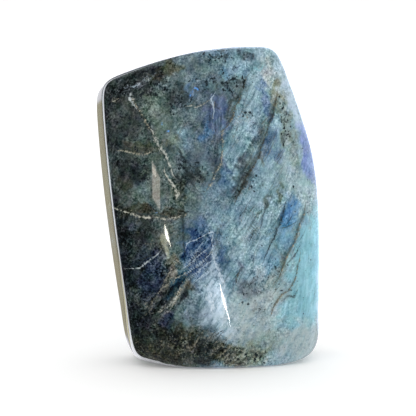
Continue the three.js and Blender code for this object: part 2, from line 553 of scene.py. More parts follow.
        Pool(-10.8, 50.3, 2.2, 2.2, 0.8), Pool(-9.5, 40.5, 0.6, 4, 0.5, 40), Pool(-6, 46, 0.6, 4, 0.5, 42),
        Pool(-4.3, 40, 0.7, 4, 0.5, 40),
    ), 0, 0.8),
    Layer(Tint.BLUE_DEEP, (
        Pool(-7.4, 39.4, 0.9, 3.2, 0.9, 10), Pool(-8.4, 45.2, 1, 2.4, 0.8, 20),
        Pool(-11.6, 44, 0.8, 2, 0.5, 20), Pool(-5.2, 44, 0.6, 2.4, 0.5, 20),
        Pool(-10.5, 35.6, 1, 2, 0.6, 30), Pool(-11.2, 41.6, 1.2, 4.6, 0.7, 8),
        Pool(-7.4, 38.8, 2.6, 5, 0.7, 10), Pool(-9.4, 48.6, 1.6, 2.6, 0.7, 20),
    ), 0.15, 0.8),
    Layer(Tint.BLUE_BRIGHT, (
        Pool(23.2, 53.4, 2.6, 4.4, 0.8, 10, 0.9), Pool(-4.4, 82.4, 1, 2, 0.5),
        Pool(14, 68, 3, 9, 0.7, 35, 1, BACK),
    ), 0.15),
    Layer(Tint.LAVENDER, (
        Pool(31.8, 73.4, 2.2, 10.5, 0.9, -19, 0.6, -10),
    ), 0.15),
    Layer(Tint.TURQUOISE, (
        Pool(33.6, 32, 9.6, 19, 0.97, 6, 0.25), Pool(25.6, 20.6, 4.8, 7.4, 0.85, 14, 0.5),
        Pool(13.8, 103.3, 1.6, 1.7, 0.7), Pool(-8, 78, 5, 11, 0.6, 35, 1, BACK),
    ), 0.1),
    Layer(Tint.TURQUOISE_BRIGHT, (
        Pool(36, 40, 3.5, 16, 0.7), Pool(-5, 82, 2.5, 7, 0.6, 35, 1, BACK),
    ), 0.1),
    Layer(Tint.SILVER, (
        Pool(-25.7, 98.4, 0.6, 2.2, 0.2, 52), Pool(-28.4, 97, 0.5, 2.0, 0.2, 64),
        Pool(20, 30, 1, 9, 0.5, 50, 0.8, BACK),
    ), 0, 2.2),
    Layer(Tint.NIGHT, (
        Pool(-26.3, 66.8, 1.3, 1.4, 0.9), Pool(-30.6, 68.6, 1.2, 1, 0.8), Pool(-28, 69, 1, 0.9, 0.7),
        Pool(-22.6, 103, 0.9, 3, 0.7, 62), Pool(-28.2, 100.2, 0.9, 3, 0.6, 62), Pool(9, 107, 3, 1.2, 0.5),
    ), 0, 1.2),
)


@dataclass(frozen=True)
class Spot:
    """A small dark spot on the front: its middle, to the right and up, and its half width and half height."""

    x: float
    z: float
    width: float = 0.4
    height: float = 0.4


SPOTS = (
    # on the dark left shoulder
    Spot(-30.5, 84.5, 0.6, 0.75), Spot(-26.4, 81.3, 0.5, 0.5), Spot(-28.8, 78.9, 0.7, 0.3),
    Spot(-35.1, 72.3, 0.3, 0.9), Spot(-37.3, 90.4, 0.3, 1.2), Spot(-29.6, 71.6, 0.7, 0.6),
    Spot(-31.6, 80.4, 0.3, 0.4), Spot(-24.6, 79.4, 0.3, 0.3), Spot(-16.1, 87.7), Spot(-13.4, 93, 0.4, 0.6),
    Spot(-15.6, 91.6, 0.5, 0.5), Spot(-16, 95, 0.5, 0.6),
    # the crowd under the top
    Spot(4.5, 99.3, 1.3, 0.5), Spot(0.3, 98, 0.5, 0.6), Spot(5.4, 97, 0.5, 0.8), Spot(3, 95.6, 0.4, 0.5),
    Spot(-5, 97.3, 0.5, 0.4), Spot(-2.6, 98.4, 0.4, 0.5), Spot(-0.6, 106, 0.9, 0.4),
    Spot(1.6, 105.4, 0.6, 0.5), Spot(-5.4, 106.2, 0.7, 0.3), Spot(2.2, 97, 0.5, 0.3),
    # the cluster between the long seams
    Spot(8.2, 88, 0.7, 0.4), Spot(9.9, 88, 0.5, 0.35), Spot(9, 86.2, 0.3, 0.3), Spot(7.4, 86.8, 0.4, 0.35),
    Spot(10.8, 86.9, 0.3, 0.3),
    # the chain along the right
    Spot(20.6, 93, 0.4, 0.5), Spot(20.9, 90.6, 0.4, 0.5), Spot(21.7, 88.9), Spot(23.3, 87.1, 0.3, 0.4),
    Spot(23.6, 84.8, 0.3, 0.6), Spot(22.6, 81.4, 0.3, 0.4), Spot(23.6, 80.2, 0.5, 0.3),
    Spot(22.9, 78.7, 0.3, 0.4), Spot(21.9, 76.7, 0.3, 0.6), Spot(24.6, 82.8, 0.3, 0.4),
    Spot(22.2, 83.4, 0.25, 0.35), Spot(25.4, 62.4, 0.4, 0.5),
    # scattered
    Spot(11.8, 66.7), Spot(10.2, 63, 0.4, 0.8), Spot(7.1, 23.6, 0.5, 0.4), Spot(9.2, 22.9, 0.5, 0.4),
    Spot(18.9, 27.5), Spot(20.2, 29.2, 0.3, 0.3), Spot(1.6, 6, 0.6, 0.4), Spot(-8.6, 71.6, 1.1, 0.3),
)

# Where the stone's texture differs.
REGIONS = {
    # where dark specks crowd
    "crowds": (
        Pool(0, 98, 10, 3.5), Pool(1, 106, 3.5, 2), Pool(-4, 107, 3, 1.5), Pool(9, 88, 2, 1.6, 0.5),
        Pool(23, 84, 1.6, 9, 0.7, -8), Pool(-28, 70, 5, 4), Pool(-29, 80, 6, 8, 0.6), Pool(-28, 97, 9, 5),
        Pool(-12, 70, 6, 4), Pool(-14, 92, 4, 4), Pool(12, 67, 3, 3, 0.5), Pool(-12, 7, 18, 7),
        Pool(6, 5, 11, 4), Pool(14, 28, 6, 6, 0.5), Pool(-24, 100, 9, 3), Pool(7, 66, 2, 6, 0.7, 35),
        Pool(-3, 42, 3, 6, 0.4), Pool(10, 70, 22, 20, 0.6, 0, 1, BACK), Pool(-38, 88, 6, 12, 0.8, 0, 1, 4, 9),
        Pool(30, 96, 8, 8, 0.6, 0, 1, 6, 9),
    ),
    # where pale flecks gather
    "flecks": (
        Pool(7, 4.5, 9, 4, 0.8), Pool(-14, 8, 15, 7, 0.8), Pool(-19, 24, 4, 6, 0.4, 35),
        Pool(-16, 61, 1.6, 3.4, 0.95), Pool(-33.6, 92.6, 2.4, 1.4, 0.9), Pool(14, 20, 5, 4, 0.6),
        Pool(-26, 76, 6, 2, 0.7), Pool(-8, 77, 6, 4, 0.4), Pool(19, 33, 3, 6, 0.5),
        Pool(-22, 54.6, 12, 1, 0.8), Pool(-16.5, 102, 1.6, 1.4, 0.8), Pool(19, 15, 4, 3, 0.6),
        Pool(0, 12, 34, 9, 0.8, 0, 0.8, BACK),
    ),
    # where the stone is drawn out in slanting fibres
    "fibres": (
        Pool(9, 50, 9, 12, 1, 28, 1), Pool(10, 84, 7, 16, 0.7, 32, 1), Pool(-8, 42, 7, 11, 1, 15),
        Pool(-3, 7, 8, 5, 0.8), Pool(22, 68, 4, 8, 0.6), Pool(-18, 28, 6, 9, 0.9, 30),
        Pool(6, 60, 22, 40, 1, 30, 1, BACK), Pool(-38, 55, 9, 40, 0.8, 0, 1, 3, 14),
        Pool(38, 40, 9, 40, 0.8, 0, 1, 5, 14), Pool(0, 108, 40, 7, 0.8, 0, 1, 3, 14),
    ),
    # where the pattern stands out more strongly
    "bold": (
        Pool(-12, 7, 18, 7, 1), Pool(4, 5, 10, 4, 0.8), Pool(-20, 27, 8, 10, 0.7, 30),
        Pool(-7, 38, 6, 9, 0.5), Pool(-26, 97, 9, 3.5, 0.8), Pool(-16, 62, 4, 6, 0.6),
        Pool(12, 34, 5, 5, 0.7), Pool(-2, 8, 30, 10, 0.8, 0, 1, BACK),
    ),
    # where the stone hangs in calm upright streaks
    "drapes": (
        Pool(34, 32, 8.5, 20, 1, 6, 0.4), Pool(26, 21, 4.6, 7, 0.9, 12, 0.5), Pool(-3, 87, 3, 6, 0.8, 4),
        Pool(31, 70, 3, 10, 0.7, -16),
    ),
}

# Small blue glints.
GLINTS = (
    Pool(-8.4, 96.2, 1.2, 0.4, 1, 20), Pool(-10.5, 93.8, 0.4, 1.0, 1, 10), Pool(-9.1, 98.7, 0.4, 0.6, 0.6),
    Pool(-9.9, 95.3, 0.4, 0.8, 0.8, 30), Pool(-19.9, 84.5, 0.5, 0.5), Pool(-18.0, 82.1, 0.6, 0.5),
    Pool(-21.7, 54.6, 0.5, 0.4, 0.8), Pool(-12.5, 21.2, 0.4, 0.9, 0.6), Pool(-12.5, 2.2, 0.7, 0.5, 0.7),
    Pool(18, 70, 1.2, 0.8, 1, 30, 0.6, BACK),
)

# Milky veils, which lie over the stone's texture. The white-blue haze round the lower window's streak is
# partly the stone's milky white and partly a painted glow of that window's reflection; the pale band along
# the right rim is a painted sheen.
VEILS_AND_SHEEN = (
    # partly the stone's milky white, partly a painted glow round the lower window's reflection
    Layer(Tint.MILKY_BLUE_AND_GLOW, (
        Pool(-1.6, 23.6, 3.2, 8, 0.55, -16, 1.0), Pool(-0.6, 29, 1.8, 8, 0.6, -14, 1.0),
        Pool(-2.6, 39, 0.5, 8, 0.45, -8), Pool(12, 35.4, 2.6, 3, 0.22), Pool(2.4, 14.6, 3.4, 3.4, 0.4),
    ), 0, 1.4),
    Layer(Tint.PALE_GREY, (
        Pool(12, 24, 8, 7, 0.25), Pool(8, 13.4, 12, 2, 0.3, -10), Pool(33, 6.4, 7, 6, 0.6, 0, 1.2),
    )),
    Layer(Tint.TURQUOISE, (
        Pool(34, 36, 7, 15, 0.3, 4, 0.5),
    )),
    # a pale sheen painted along the right rim, standing in for its reflection
    Layer(Tint.RIM_SHEEN, (
        Pool(25.8, 92, 1.4, 9, 0.55, -20, 1.5, -10, 10), Pool(36.6, 58, 0.8, 8, 0.4, -13, 1.5, -9, 10),
        Pool(37.6, 22, 1.6, 16, 0.5, 0, 1.4, -8, 10),
    ), 0, 0.3),
)


# How many points are strung along a seam for each point of its line.
BEADS_A_POINT = 8


@dataclass(frozen=True)
class Seam:
    """A crack or vein: a thin sheet through the stone, given by the line that it draws on the front.

    Attributes:
        line: the points of that line, each with how far right it is, how high, and the seam's half width.
        pale: how pale it is, from 0 for dark brown through 1 for tan to 2 for icy white.
        strength: how much of its colour shows.
        shade: how far the stone beside it is stained.
        dip: how far it moves to the right for each millimetre towards the back.
    """

    line: tuple[Measures, ...]
    pale: float = 0.0
    strength: float = 0.85
    shade: float = 0.0
    dip: float = -0.25

    @property
    def path(self) -> np.ndarray:
        """The points of the line without their widths, one a row."""
        return np.array(self.line)[:, :2]

    def _along_sheet(self, points: np.ndarray) -> np.ndarray:
        """Points moved along the seam's sheet to the front: how far right and how high, one a row."""
        return np.stack((points[:, 0] - self.dip * (points[:, 1] - FRONT), points[:, 2]), axis=1)

    def beads(self) -> np.ndarray:
        """Points strung closely along the seam.

        Returns:
            How far right and how high each of them is, one a row.
        """
        ends = np.arange(len(self.line))
        spaced = np.linspace(0, ends[-1], BEADS_A_POINT * len(ends))
        return np.stack([np.interp(spaced, ends, part) for part in self.path.T], axis=1)

    def nearby(self, points: np.ndarray, reach: float) -> np.ndarray:
        """Finds the points that may lie close to the seam.

        Args:
            points: one point a row.
            reach: how close is close.

        Returns:
            The numbers of those points.
        """
        low, high = self.path.min(axis=0) - reach, self.path.max(axis=0) + reach
        flat = self._along_sheet(points)
        return np.flatnonzero(((flat > low) & (flat < high)).all(axis=1))

    def side_readings(self, points: np.ndarray) -> tuple[np.ndarray, np.ndarray]:
        """How far some points are from the seam.

        Args:
            points: one point a row.

        Returns:
            The distance to the right of the seam, and the seam's half width there.
        """
        flat = self._along_sheet(points)
        nearest = np.full(len(points), np.inf)
        side = np.zeros(len(points))
        width = np.zeros(len(points))
        for first, last in zip(self.line, self.line[1:]):
            start, run = np.array(first[:2]), np.array(last[:2]) - np.array(first[:2])
            length = float(np.hypot(*run))
            share = np.clip((flat - start) @ run / length**2, 0, 1)
            off = flat - start - share[:, None] * run
            far = np.hypot(off[:, 0], off[:, 1])
            turned = off[:, 0] * run[1] - off[:, 1] * run[0]
            closer = far < nearest
            nearest = np.where(closer, far, nearest)
            side = np.where(closer, np.where(turned < 0, -far, far), side)
            width = np.where(closer, first[2] + share * (last[2] - first[2]), width)
        return side, width


SEAMS = (
    # the long brown seam from the upper right, and its fellow to the left
    Seam(((3, 56.5, 0), (5.1, 61.5, 0.3), (7.4, 66, 0.3), (9.1, 68.4, 0.3), (10.8, 70.8, 0.35),
          (12.5, 72.8, 0.4), (12.9, 75.6, 0.45), (14.2, 78.3, 0.6), (15.2, 80.7, 0.55), (16.2, 83.4, 0.35),
          (17.9, 86.2, 0.3), (18.5, 88.9, 0.3), (19.9, 91.6, 0.25), (20.8, 96, 0)), 0.4, 0.95, 0.9),
    Seam(((-6.7, 61.9, 0), (-5.7, 63.9, 0.3), (-4.4, 65.3, 0.3), (-3.4, 68, 0.35), (-2, 70.1, 0.35),
          (-1, 71.5, 0.3), (-0.7, 74.5, 0.3), (-1, 78.6, 0.3), (-0.7, 81.7, 0.45), (0.7, 83.2, 0)), 1.2,
          0.85, 0.5),
    Seam(((-0.7, 81.7, 0), (1.7, 84.5, 0.3), (3.4, 86.8, 0.35), (4.4, 90.3, 0.35), (6.1, 92.7, 0.35),
          (7.4, 96.1, 0.3), (8.6, 98.6, 0.25), (10.8, 101.6, 0)), 0.6, 0.85, 0.8),
    # the seams of the right side
    Seam(((12.4, 48, 0), (12.8, 49.9, 0.35), (13.5, 53, 0.35), (14.8, 56.4, 0.4), (15.8, 59.1, 0)), 0, 0.6,
          0.3),
    Seam(((13.6, 37, 0), (15.5, 41.7, 0.3), (17.2, 45.1, 0.4), (18.5, 47.2, 0.5), (20.2, 50.9, 0.55),
          (21.6, 54.4, 0.5), (22.6, 58, 0)), 0, 0.9, 0.5),
    Seam(((19.6, 31, 0), (21.4, 35, 0.35), (22.6, 38, 0.45), (25.4, 43, 0.55), (27.5, 47.5, 0.5),
          (29.6, 52, 0.5), (31, 57, 0)), 0.85, 0.9, 0.6),
    Seam(((22, 35, 0), (25.6, 38.5, 0.4), (28.4, 42.5, 0)), 0.1, 0.8, 0.3),
    Seam(((16.6, 17.6, 0), (17.9, 20.8, 0.35), (19.5, 23.6, 0.4), (21.2, 25.7, 0.45), (23.8, 26.6, 0.4),
          (26, 30, 0.4), (27.6, 35, 0.35), (28.3, 40, 0)), 0.8, 0.85, 0.5),
    Seam(((21.6, 23.4, 0), (23, 24.6, 0.3), (26, 24.6, 0.4), (27.4, 27, 0)), 0.2, 0.8, 0.2),
    Seam(((19.9, 48.9, 0), (22.9, 48.7, 0.3), (27.5, 50.5, 0)), 0.5, 0.7, 0.2),
    Seam(((4, 30.1, 0), (4.6, 32.6, 0.4), (5.4, 35.5, 0)), 0.5, 0.8, 0.3),
    # the left cracks
    Seam(((-22.6, 79.6, 0), (-24.3, 83.1, 0.3), (-25.5, 85.7, 0.35), (-26.4, 87.4, 0.3),
          (-27.4, 89.1, 0.3), (-29.1, 92.3, 0.6), (-29.3, 93.6, 0)), 1.1, 0.85, 0.3),
    Seam(((-16.1, 66.7, 0), (-17.3, 68.1, 0.25), (-18, 69.9, 0.3), (-18.7, 71.8, 0.35), (-19.2, 73.5, 0.4),
          (-20.2, 74.7, 0.6), (-20.9, 76.2, 0.7), (-21.9, 77.9, 0.65), (-22.6, 79.6, 0.55),
          (-23.3, 81.3, 0.5), (-24.3, 83.1, 0)), 1.45, 0.95),
    Seam(((-16, 59.2, 0), (-16.1, 61, 0.8), (-17.1, 63.5, 0.65), (-18.2, 65.7, 0.45), (-19.7, 67.9, 0.25),
          (-19.6, 71, 0)), 1.4, 0.95),
    Seam(((-29.7, 94.8, 0), (-29.2, 93.2, 0.7), (-28.6, 91.2, 0.4), (-27.6, 89, 0)), 1.6, 0.95),
    Seam(((-35.6, 91.4, 0), (-34.4, 92.3, 0.7), (-33, 93, 0)), 1.3, 0.8),
    Seam(((-13.1, 37.5, 0), (-13.5, 43.2, 0.3), (-13.8, 47.5, 0.35), (-14, 52.5, 0.3), (-13.7, 54, 0)),
          0.1, 0.9, 0.3),
    Seam(((-11.6, 71.2, 0), (-12.2, 71.8, 0.4), (-14.2, 73.5, 0.55), (-15.2, 75.5, 0.3), (-15.8, 76.6, 0)),
          0, 0.95, 0.3),
)

# Straighter lines: the pale ones of the blue hollow and beside it, and the threads of the cracks.
THREADS = (
    Seam(((-13.2, 42.2, 0), (-12.4, 44.4, 0.22), (-9.6, 45.6, 0.25), (-6.6, 47.4, 0.3), (-4.6, 48.2, 0.35),
          (-3.4, 47.4, 0)), 2.3, 0.85),
    Seam(((-3.9, 48, 0), (-4.2, 45, 0.3), (-3.8, 41, 0.35), (-2.8, 37, 0.5), (-1.2, 33, 0.6),
          (0.2, 30, 0)), 2.4, 0.75),
    Seam(((-14.4, 35.6, 0), (-11.0, 38.2, 0.3), (-8.4, 40.8, 0.3), (-5.0, 43.4, 0)), 2.2, 0.9),
    Seam(((-13.4, 33.6, 0), (-10.4, 35.8, 0.35), (-7.6, 38.2, 0.3), (-4.6, 40.6, 0)), 2.2, 0.9),
    Seam(((-12.0, 31.8, 0), (-9.2, 34.4, 0.35), (-6.0, 37.2, 0.3), (-3.6, 38.6, 0)), 2.2, 0.9),
    Seam(((-10.2, 30.6, 0), (-7.4, 33.2, 0.35), (-4.4, 36.2, 0)), 2.3, 0.85),
    Seam(((-11.8, 40.4, 0), (-9.0, 42.6, 0.3), (-6.6, 45.6, 0)), 2, 0.7),
    Seam(((-3.3, 86.0, 0), (-3.7, 88.9, 0.3), (-4.5, 92.7, 0.3), (-2.4, 95.1, 0)), 2.2, 0.85),
    Seam(((-12.5, 90.4, 0), (-10.1, 90.9, 0.3), (-9.6, 90.2, 0.3), (-7.4, 91.1, 0.3), (-4.5, 92.7, 0)),
          1.4, 0.85),
    Seam(((6.4, 76.9, 0), (8, 77.2, 0.15), (9.3, 77.1, 0)), 2, 0.4),
    # the beige bands of the lower left
    Seam(((-23.6, 21.6, 0), (-20.3, 28.2, 0.3), (-17.9, 34.3, 0.3), (-15.6, 38.6, 0)), 1.25, 0.7, 0.3),
    Seam(((-20.2, 28.6, 0), (-17.9, 30.8, 0.35), (-15.6, 32.6, 0.35), (-13.5, 33.9, 0.3), (-12, 35.5, 0)),
          1.35, 0.9),
    Seam(((-19, 21.4, 0), (-17.2, 23.3, 0.6), (-15.6, 25.8, 0.5), (-14.5, 28.3, 0.4), (-13.6, 30.8, 0.4),
          (-12, 34, 0)), 1.45, 0.95, 0.4),
    Seam(((-15.4, 22.6, 0), (-13.2, 26, 0.5), (-11.4, 30, 0.4), (-10.8, 33, 0)), 0, 0.85, 0.4),
    Seam(((-23, 19.6, 0), (-20.4, 20.8, 0.3), (-18.2, 22.4, 0.4), (-16.4, 24.6, 0)), 1.4, 0.85),
    Seam(((-9.8, 7.8, 0), (-7.9, 11.3, 0.22), (-5.5, 14.7, 0)), 1.1, 0.6),
    # the flat ones
    Seam(((-34.4, 75.7, 0), (-32.2, 75.6, 0.3), (-29.1, 75, 0.4), (-26.2, 74.5, 0.4), (-24.3, 75, 0.35),
          (-22.8, 76.2, 0)), 1.2, 0.85, 0.5),
    Seam(((-35.5, 56.8, 0), (-34.1, 56.2, 0.3), (-31.9, 55.3, 0.4), (-28.8, 53.9, 0.5),
          (-24.6, 53.2, 0.45), (-22.7, 53.3, 0.45), (-19.7, 52.7, 0.45), (-15.7, 53.6, 0.35),
          (-14.2, 54.1, 0)), 1.35, 0.95, 0.2),
    Seam(((-30.6, 35.2, 0), (-27.3, 35.7, 0.4), (-25.2, 37.1, 0.35), (-22.7, 39.5, 0.3), (-20, 42.3, 0)),
          1.6, 0.9),
    Seam(((-28, 38.4, 0), (-26.7, 38.3, 0.3), (-24, 39.6, 0.2), (-21, 42, 0)), 0.4, 0.7),
)


# How jagged seams and threads are, in millimetres, and into how many nets of each kind they are sorted.
SEAM_JAG = 1.0
THREAD_JAG = 0.35
SEAM_NETS = 2
THREAD_NETS = 3


@dataclass(frozen=True)
class Hairlines:
    """A region where short hairline cracks lie side by side.

    Attributes:
        pool: where their middles are.
        count: how many there are.
        lean: how far they lean to the right, in degrees.
        spread: how much the lean varies, in degrees.
        length: how long most of them are.
        pale: how pale they are, from 0 for dark brown through 1 for tan to 2 for icy white.
        strength: how much of their colour shows.
        lengths: the shortest and longest, in parts of the length.
        widths: the least and greatest half width of their middles.
        strengths: the faintest and strongest, in parts of the strength.
        bow: how far most of them bow, in parts of their half length.
    """

    pool: Pool
    count: int
    lean: float
    spread: float
    length: float
    pale: float
    strength: float
    lengths: tuple[float, float] = (0.5, 1.3)
    widths: tuple[float, float] = (0.14, 0.26)
    strengths: tuple[float, float] = (0.5, 1.4)
    bow: float = 0.06

    def lines(self, draw: np.random.Generator) -> Iterator[Seam]:
        """Draws the hairlines of the region.

        Args:
            draw: what the random numbers are drawn from.

        Yields:
            One seam after another.
        """
        tip = math.radians(self.pool.lean)
        for _ in range(self.count):
            turn, out = draw.uniform(0, 2 * math.pi), math.sqrt(draw.uniform(0, 1))
            right, up = self.pool.width * out * math.cos(turn), self.pool.height * out * math.sin(turn)
            x = self.pool.x + right * math.cos(tip) + up * math.sin(tip)
            z = self.pool.z + up * math.cos(tip) - right * math.sin(tip)
            lean = math.radians(draw.normal(self.lean, self.spread))
            reach = self.length * draw.uniform(*self.lengths) / 2
            bow = draw.normal(0, self.bow) * reach
            low, high = ((x + way * math.sin(lean), z + way * math.cos(lean), 0.0) for way in (-reach, reach))
            middle = (x + bow * math.cos(lean), z - bow * math.sin(lean), draw.uniform(*self.widths))
            yield Seam((low, middle, high), self.pale, self.strength * draw.uniform(*self.strengths))


HAIRLINE_FIELDS = (
    # the blue hollow and the frost beside it
    Hairlines(Pool(-8.2, 37, 4, 5), 16, 44, 5, 6, 2.0, 0.4),
    Hairlines(Pool(-8, 40, 5, 7), 10, 42, 6, 7, 0.0, 0.3),
    Hairlines(Pool(-4.6, 26, 2, 7, 1, -15), 26, -14, 18, 2, 2.9, 0.4),
    Hairlines(Pool(-1, 33, 1.2, 7, 1, -14), 10, -14, 6, 4, 2.5, 0.4),
    Hairlines(Pool(2.4, 15, 4, 4), 16, -30, 20, 2, 2.6, 0.3),
    Hairlines(Pool(12, 35.4, 3.2, 3.4), 20, 30, 30, 1.6, 2.6, 0.35),
    # the beige bands
    Hairlines(Pool(-17.6, 31.5, 1.3, 8, 1, 30), 16, 32, 5, 7, 1.2, 0.2),
    Hairlines(Pool(-14.6, 27.4, 0.9, 7, 1, 36), 12, 36, 5, 7, 1.3, 0.25),
    Hairlines(Pool(-17, 28, 4, 8, 1, 34), 22, 34, 5, 7, 0.0, 0.6),
    Hairlines(Pool(-23.5, 24, 3, 6, 1, 40), 10, 40, 8, 5, 1.0, 0.4),
    # the centre and the right
    Hairlines(Pool(5.5, 31, 5, 5), 10, 34, 8, 6, 0.0, 0.6),
    Hairlines(Pool(8, 51, 3.5, 6), 18, 34, 7, 5, 0.0, 0.55),
    Hairlines(Pool(9, 49, 4, 6), 12, 34, 7, 5, 2.0, 0.4),
    Hairlines(Pool(14, 48, 6, 10), 10, 28, 6, 8, 0.0, 0.35),
    Hairlines(Pool(6.5, 65, 2.4, 7, 1, 30), 18, 38, 7, 5, 0.1, 0.6),
    Hairlines(Pool(22, 70, 3, 7), 10, 36, 10, 5, 0.2, 0.5),
    Hairlines(Pool(25, 44, 5, 8), 8, 34, 8, 6, 0.0, 0.4),
    Hairlines(Pool(6, 82, 6, 14, 1, 25), 18, 32, 8, 8, 0.1, 0.35),
    Hairlines(Pool(8, 84, 5, 12, 1, 25), 16, 32, 12, 5, 2.0, 0.4),
    Hairlines(Pool(20, 32, 3, 6), 12, 36, 9, 6, 0.5, 0.45),
    Hairlines(Pool(-3, 87, 2.6, 5), 12, 2, 7, 5, 0.0, 0.45),
    Hairlines(Pool(-3, 87, 2.6, 5), 6, 2, 7, 4, 2.0, 0.3),
    # the dark foot
    Hairlines(Pool(-12, 9, 16, 6), 22, 40, 30, 3, 1.0, 0.5),
    Hairlines(Pool(-2, 8, 6, 5), 20, 45, 8, 5, 0.0, 0.75),
    Hairlines(Pool(-1, 9, 6, 5), 18, 45, 8, 4, 1.2, 0.5),
    # the left
    Hairlines(Pool(-26, 60, 7, 30), 12, 60, 40, 4, 1.0, 0.3),
    Hairlines(Pool(-26, 84, 7, 12), 10, 20, 50, 4, 0.0, 0.4),
    Hairlines(Pool(-12, 67.5, 4, 4), 16, -40, 12, 4, 0.0, 0.6),
    Hairlines(Pool(-20, 46, 5, 6), 8, 40, 30, 4, 1.0, 0.3),
    Hairlines(Pool(-25.5, 98.6, 0.9, 4.6, 1, 58), 20, 52, 16, 1.8, 2.2, 0.36),
    Hairlines(Pool(-29.5, 96.8, 0.6, 4, 1, 66), 12, 66, 14, 1.4, 2.2, 0.3),
    # the back
    Hairlines(Pool(0, 60, 24, 36, 1, 0, 0.6, BACK), 50, 32, 12, 9, 0.6, 0.4),
)


# The number that settles where the hairlines are.
HAIRLINE_SEED = 5


def hairlines() -> list[Seam]:
    """The hairline cracks of all regions, the same on every run."""
    draw = np.random.default_rng(HAIRLINE_SEED)
    return [line for group in HAIRLINE_FIELDS for line in group.lines(draw)]


@dataclass(frozen=True)
class Net:
    """Seams that are shown together, and how jagged they are."""

    seams: tuple[Seam, ...]
    jag: float


# How far apart seams have all the room that they need, and what counts as far away from everything.
ENOUGH_ROOM = 3.0
FAR_AWAY = 1000.0


def sorted_nets(seams: Sequence[Seam], count: int, jag: float) -> list[Net]:
    """Sorts seams into nets, so that the seams of one net lie well apart.

    Args:
        seams: the seams.
        count: how many nets there are.
        jag: how jagged the seams are.

    Returns:
        The nets.
    """
    taken = [np.full((1, 2), FAR_AWAY)] * count
    sorted_seams: list[list[Seam]] = [[] for _ in range(count)]
    for seam in seams:
        beads = seam.beads()
        clearances = [np.min(np.linalg.norm(beads[:, None] - others[None], axis=2)) for others in taken]
        roomiest = int(np.argmax(np.minimum(clearances, ENOUGH_ROOM)))
        sorted_seams[roomiest].append(seam)
        taken[roomiest] = np.concatenate((taken[roomiest], beads))
    return [Net(tuple(group), jag) for group in sorted_seams]


@cache
def all_nets() -> tuple[Net, ...]:
    """The nets of all threads and seams, from the lowest up."""
    threads = sorted_nets((*THREADS, *hairlines()), THREAD_NETS, THREAD_JAG)
    return (*threads, *sorted_nets(SEAMS, SEAM_NETS, SEAM_JAG))


# What the mesh carries for the spots and for each net of seams.
SPOT_PARTS = ("spot across", "spot up", "spot near")
NET_PARTS = ("side", "width", "strength", "near", "pale", "stain")


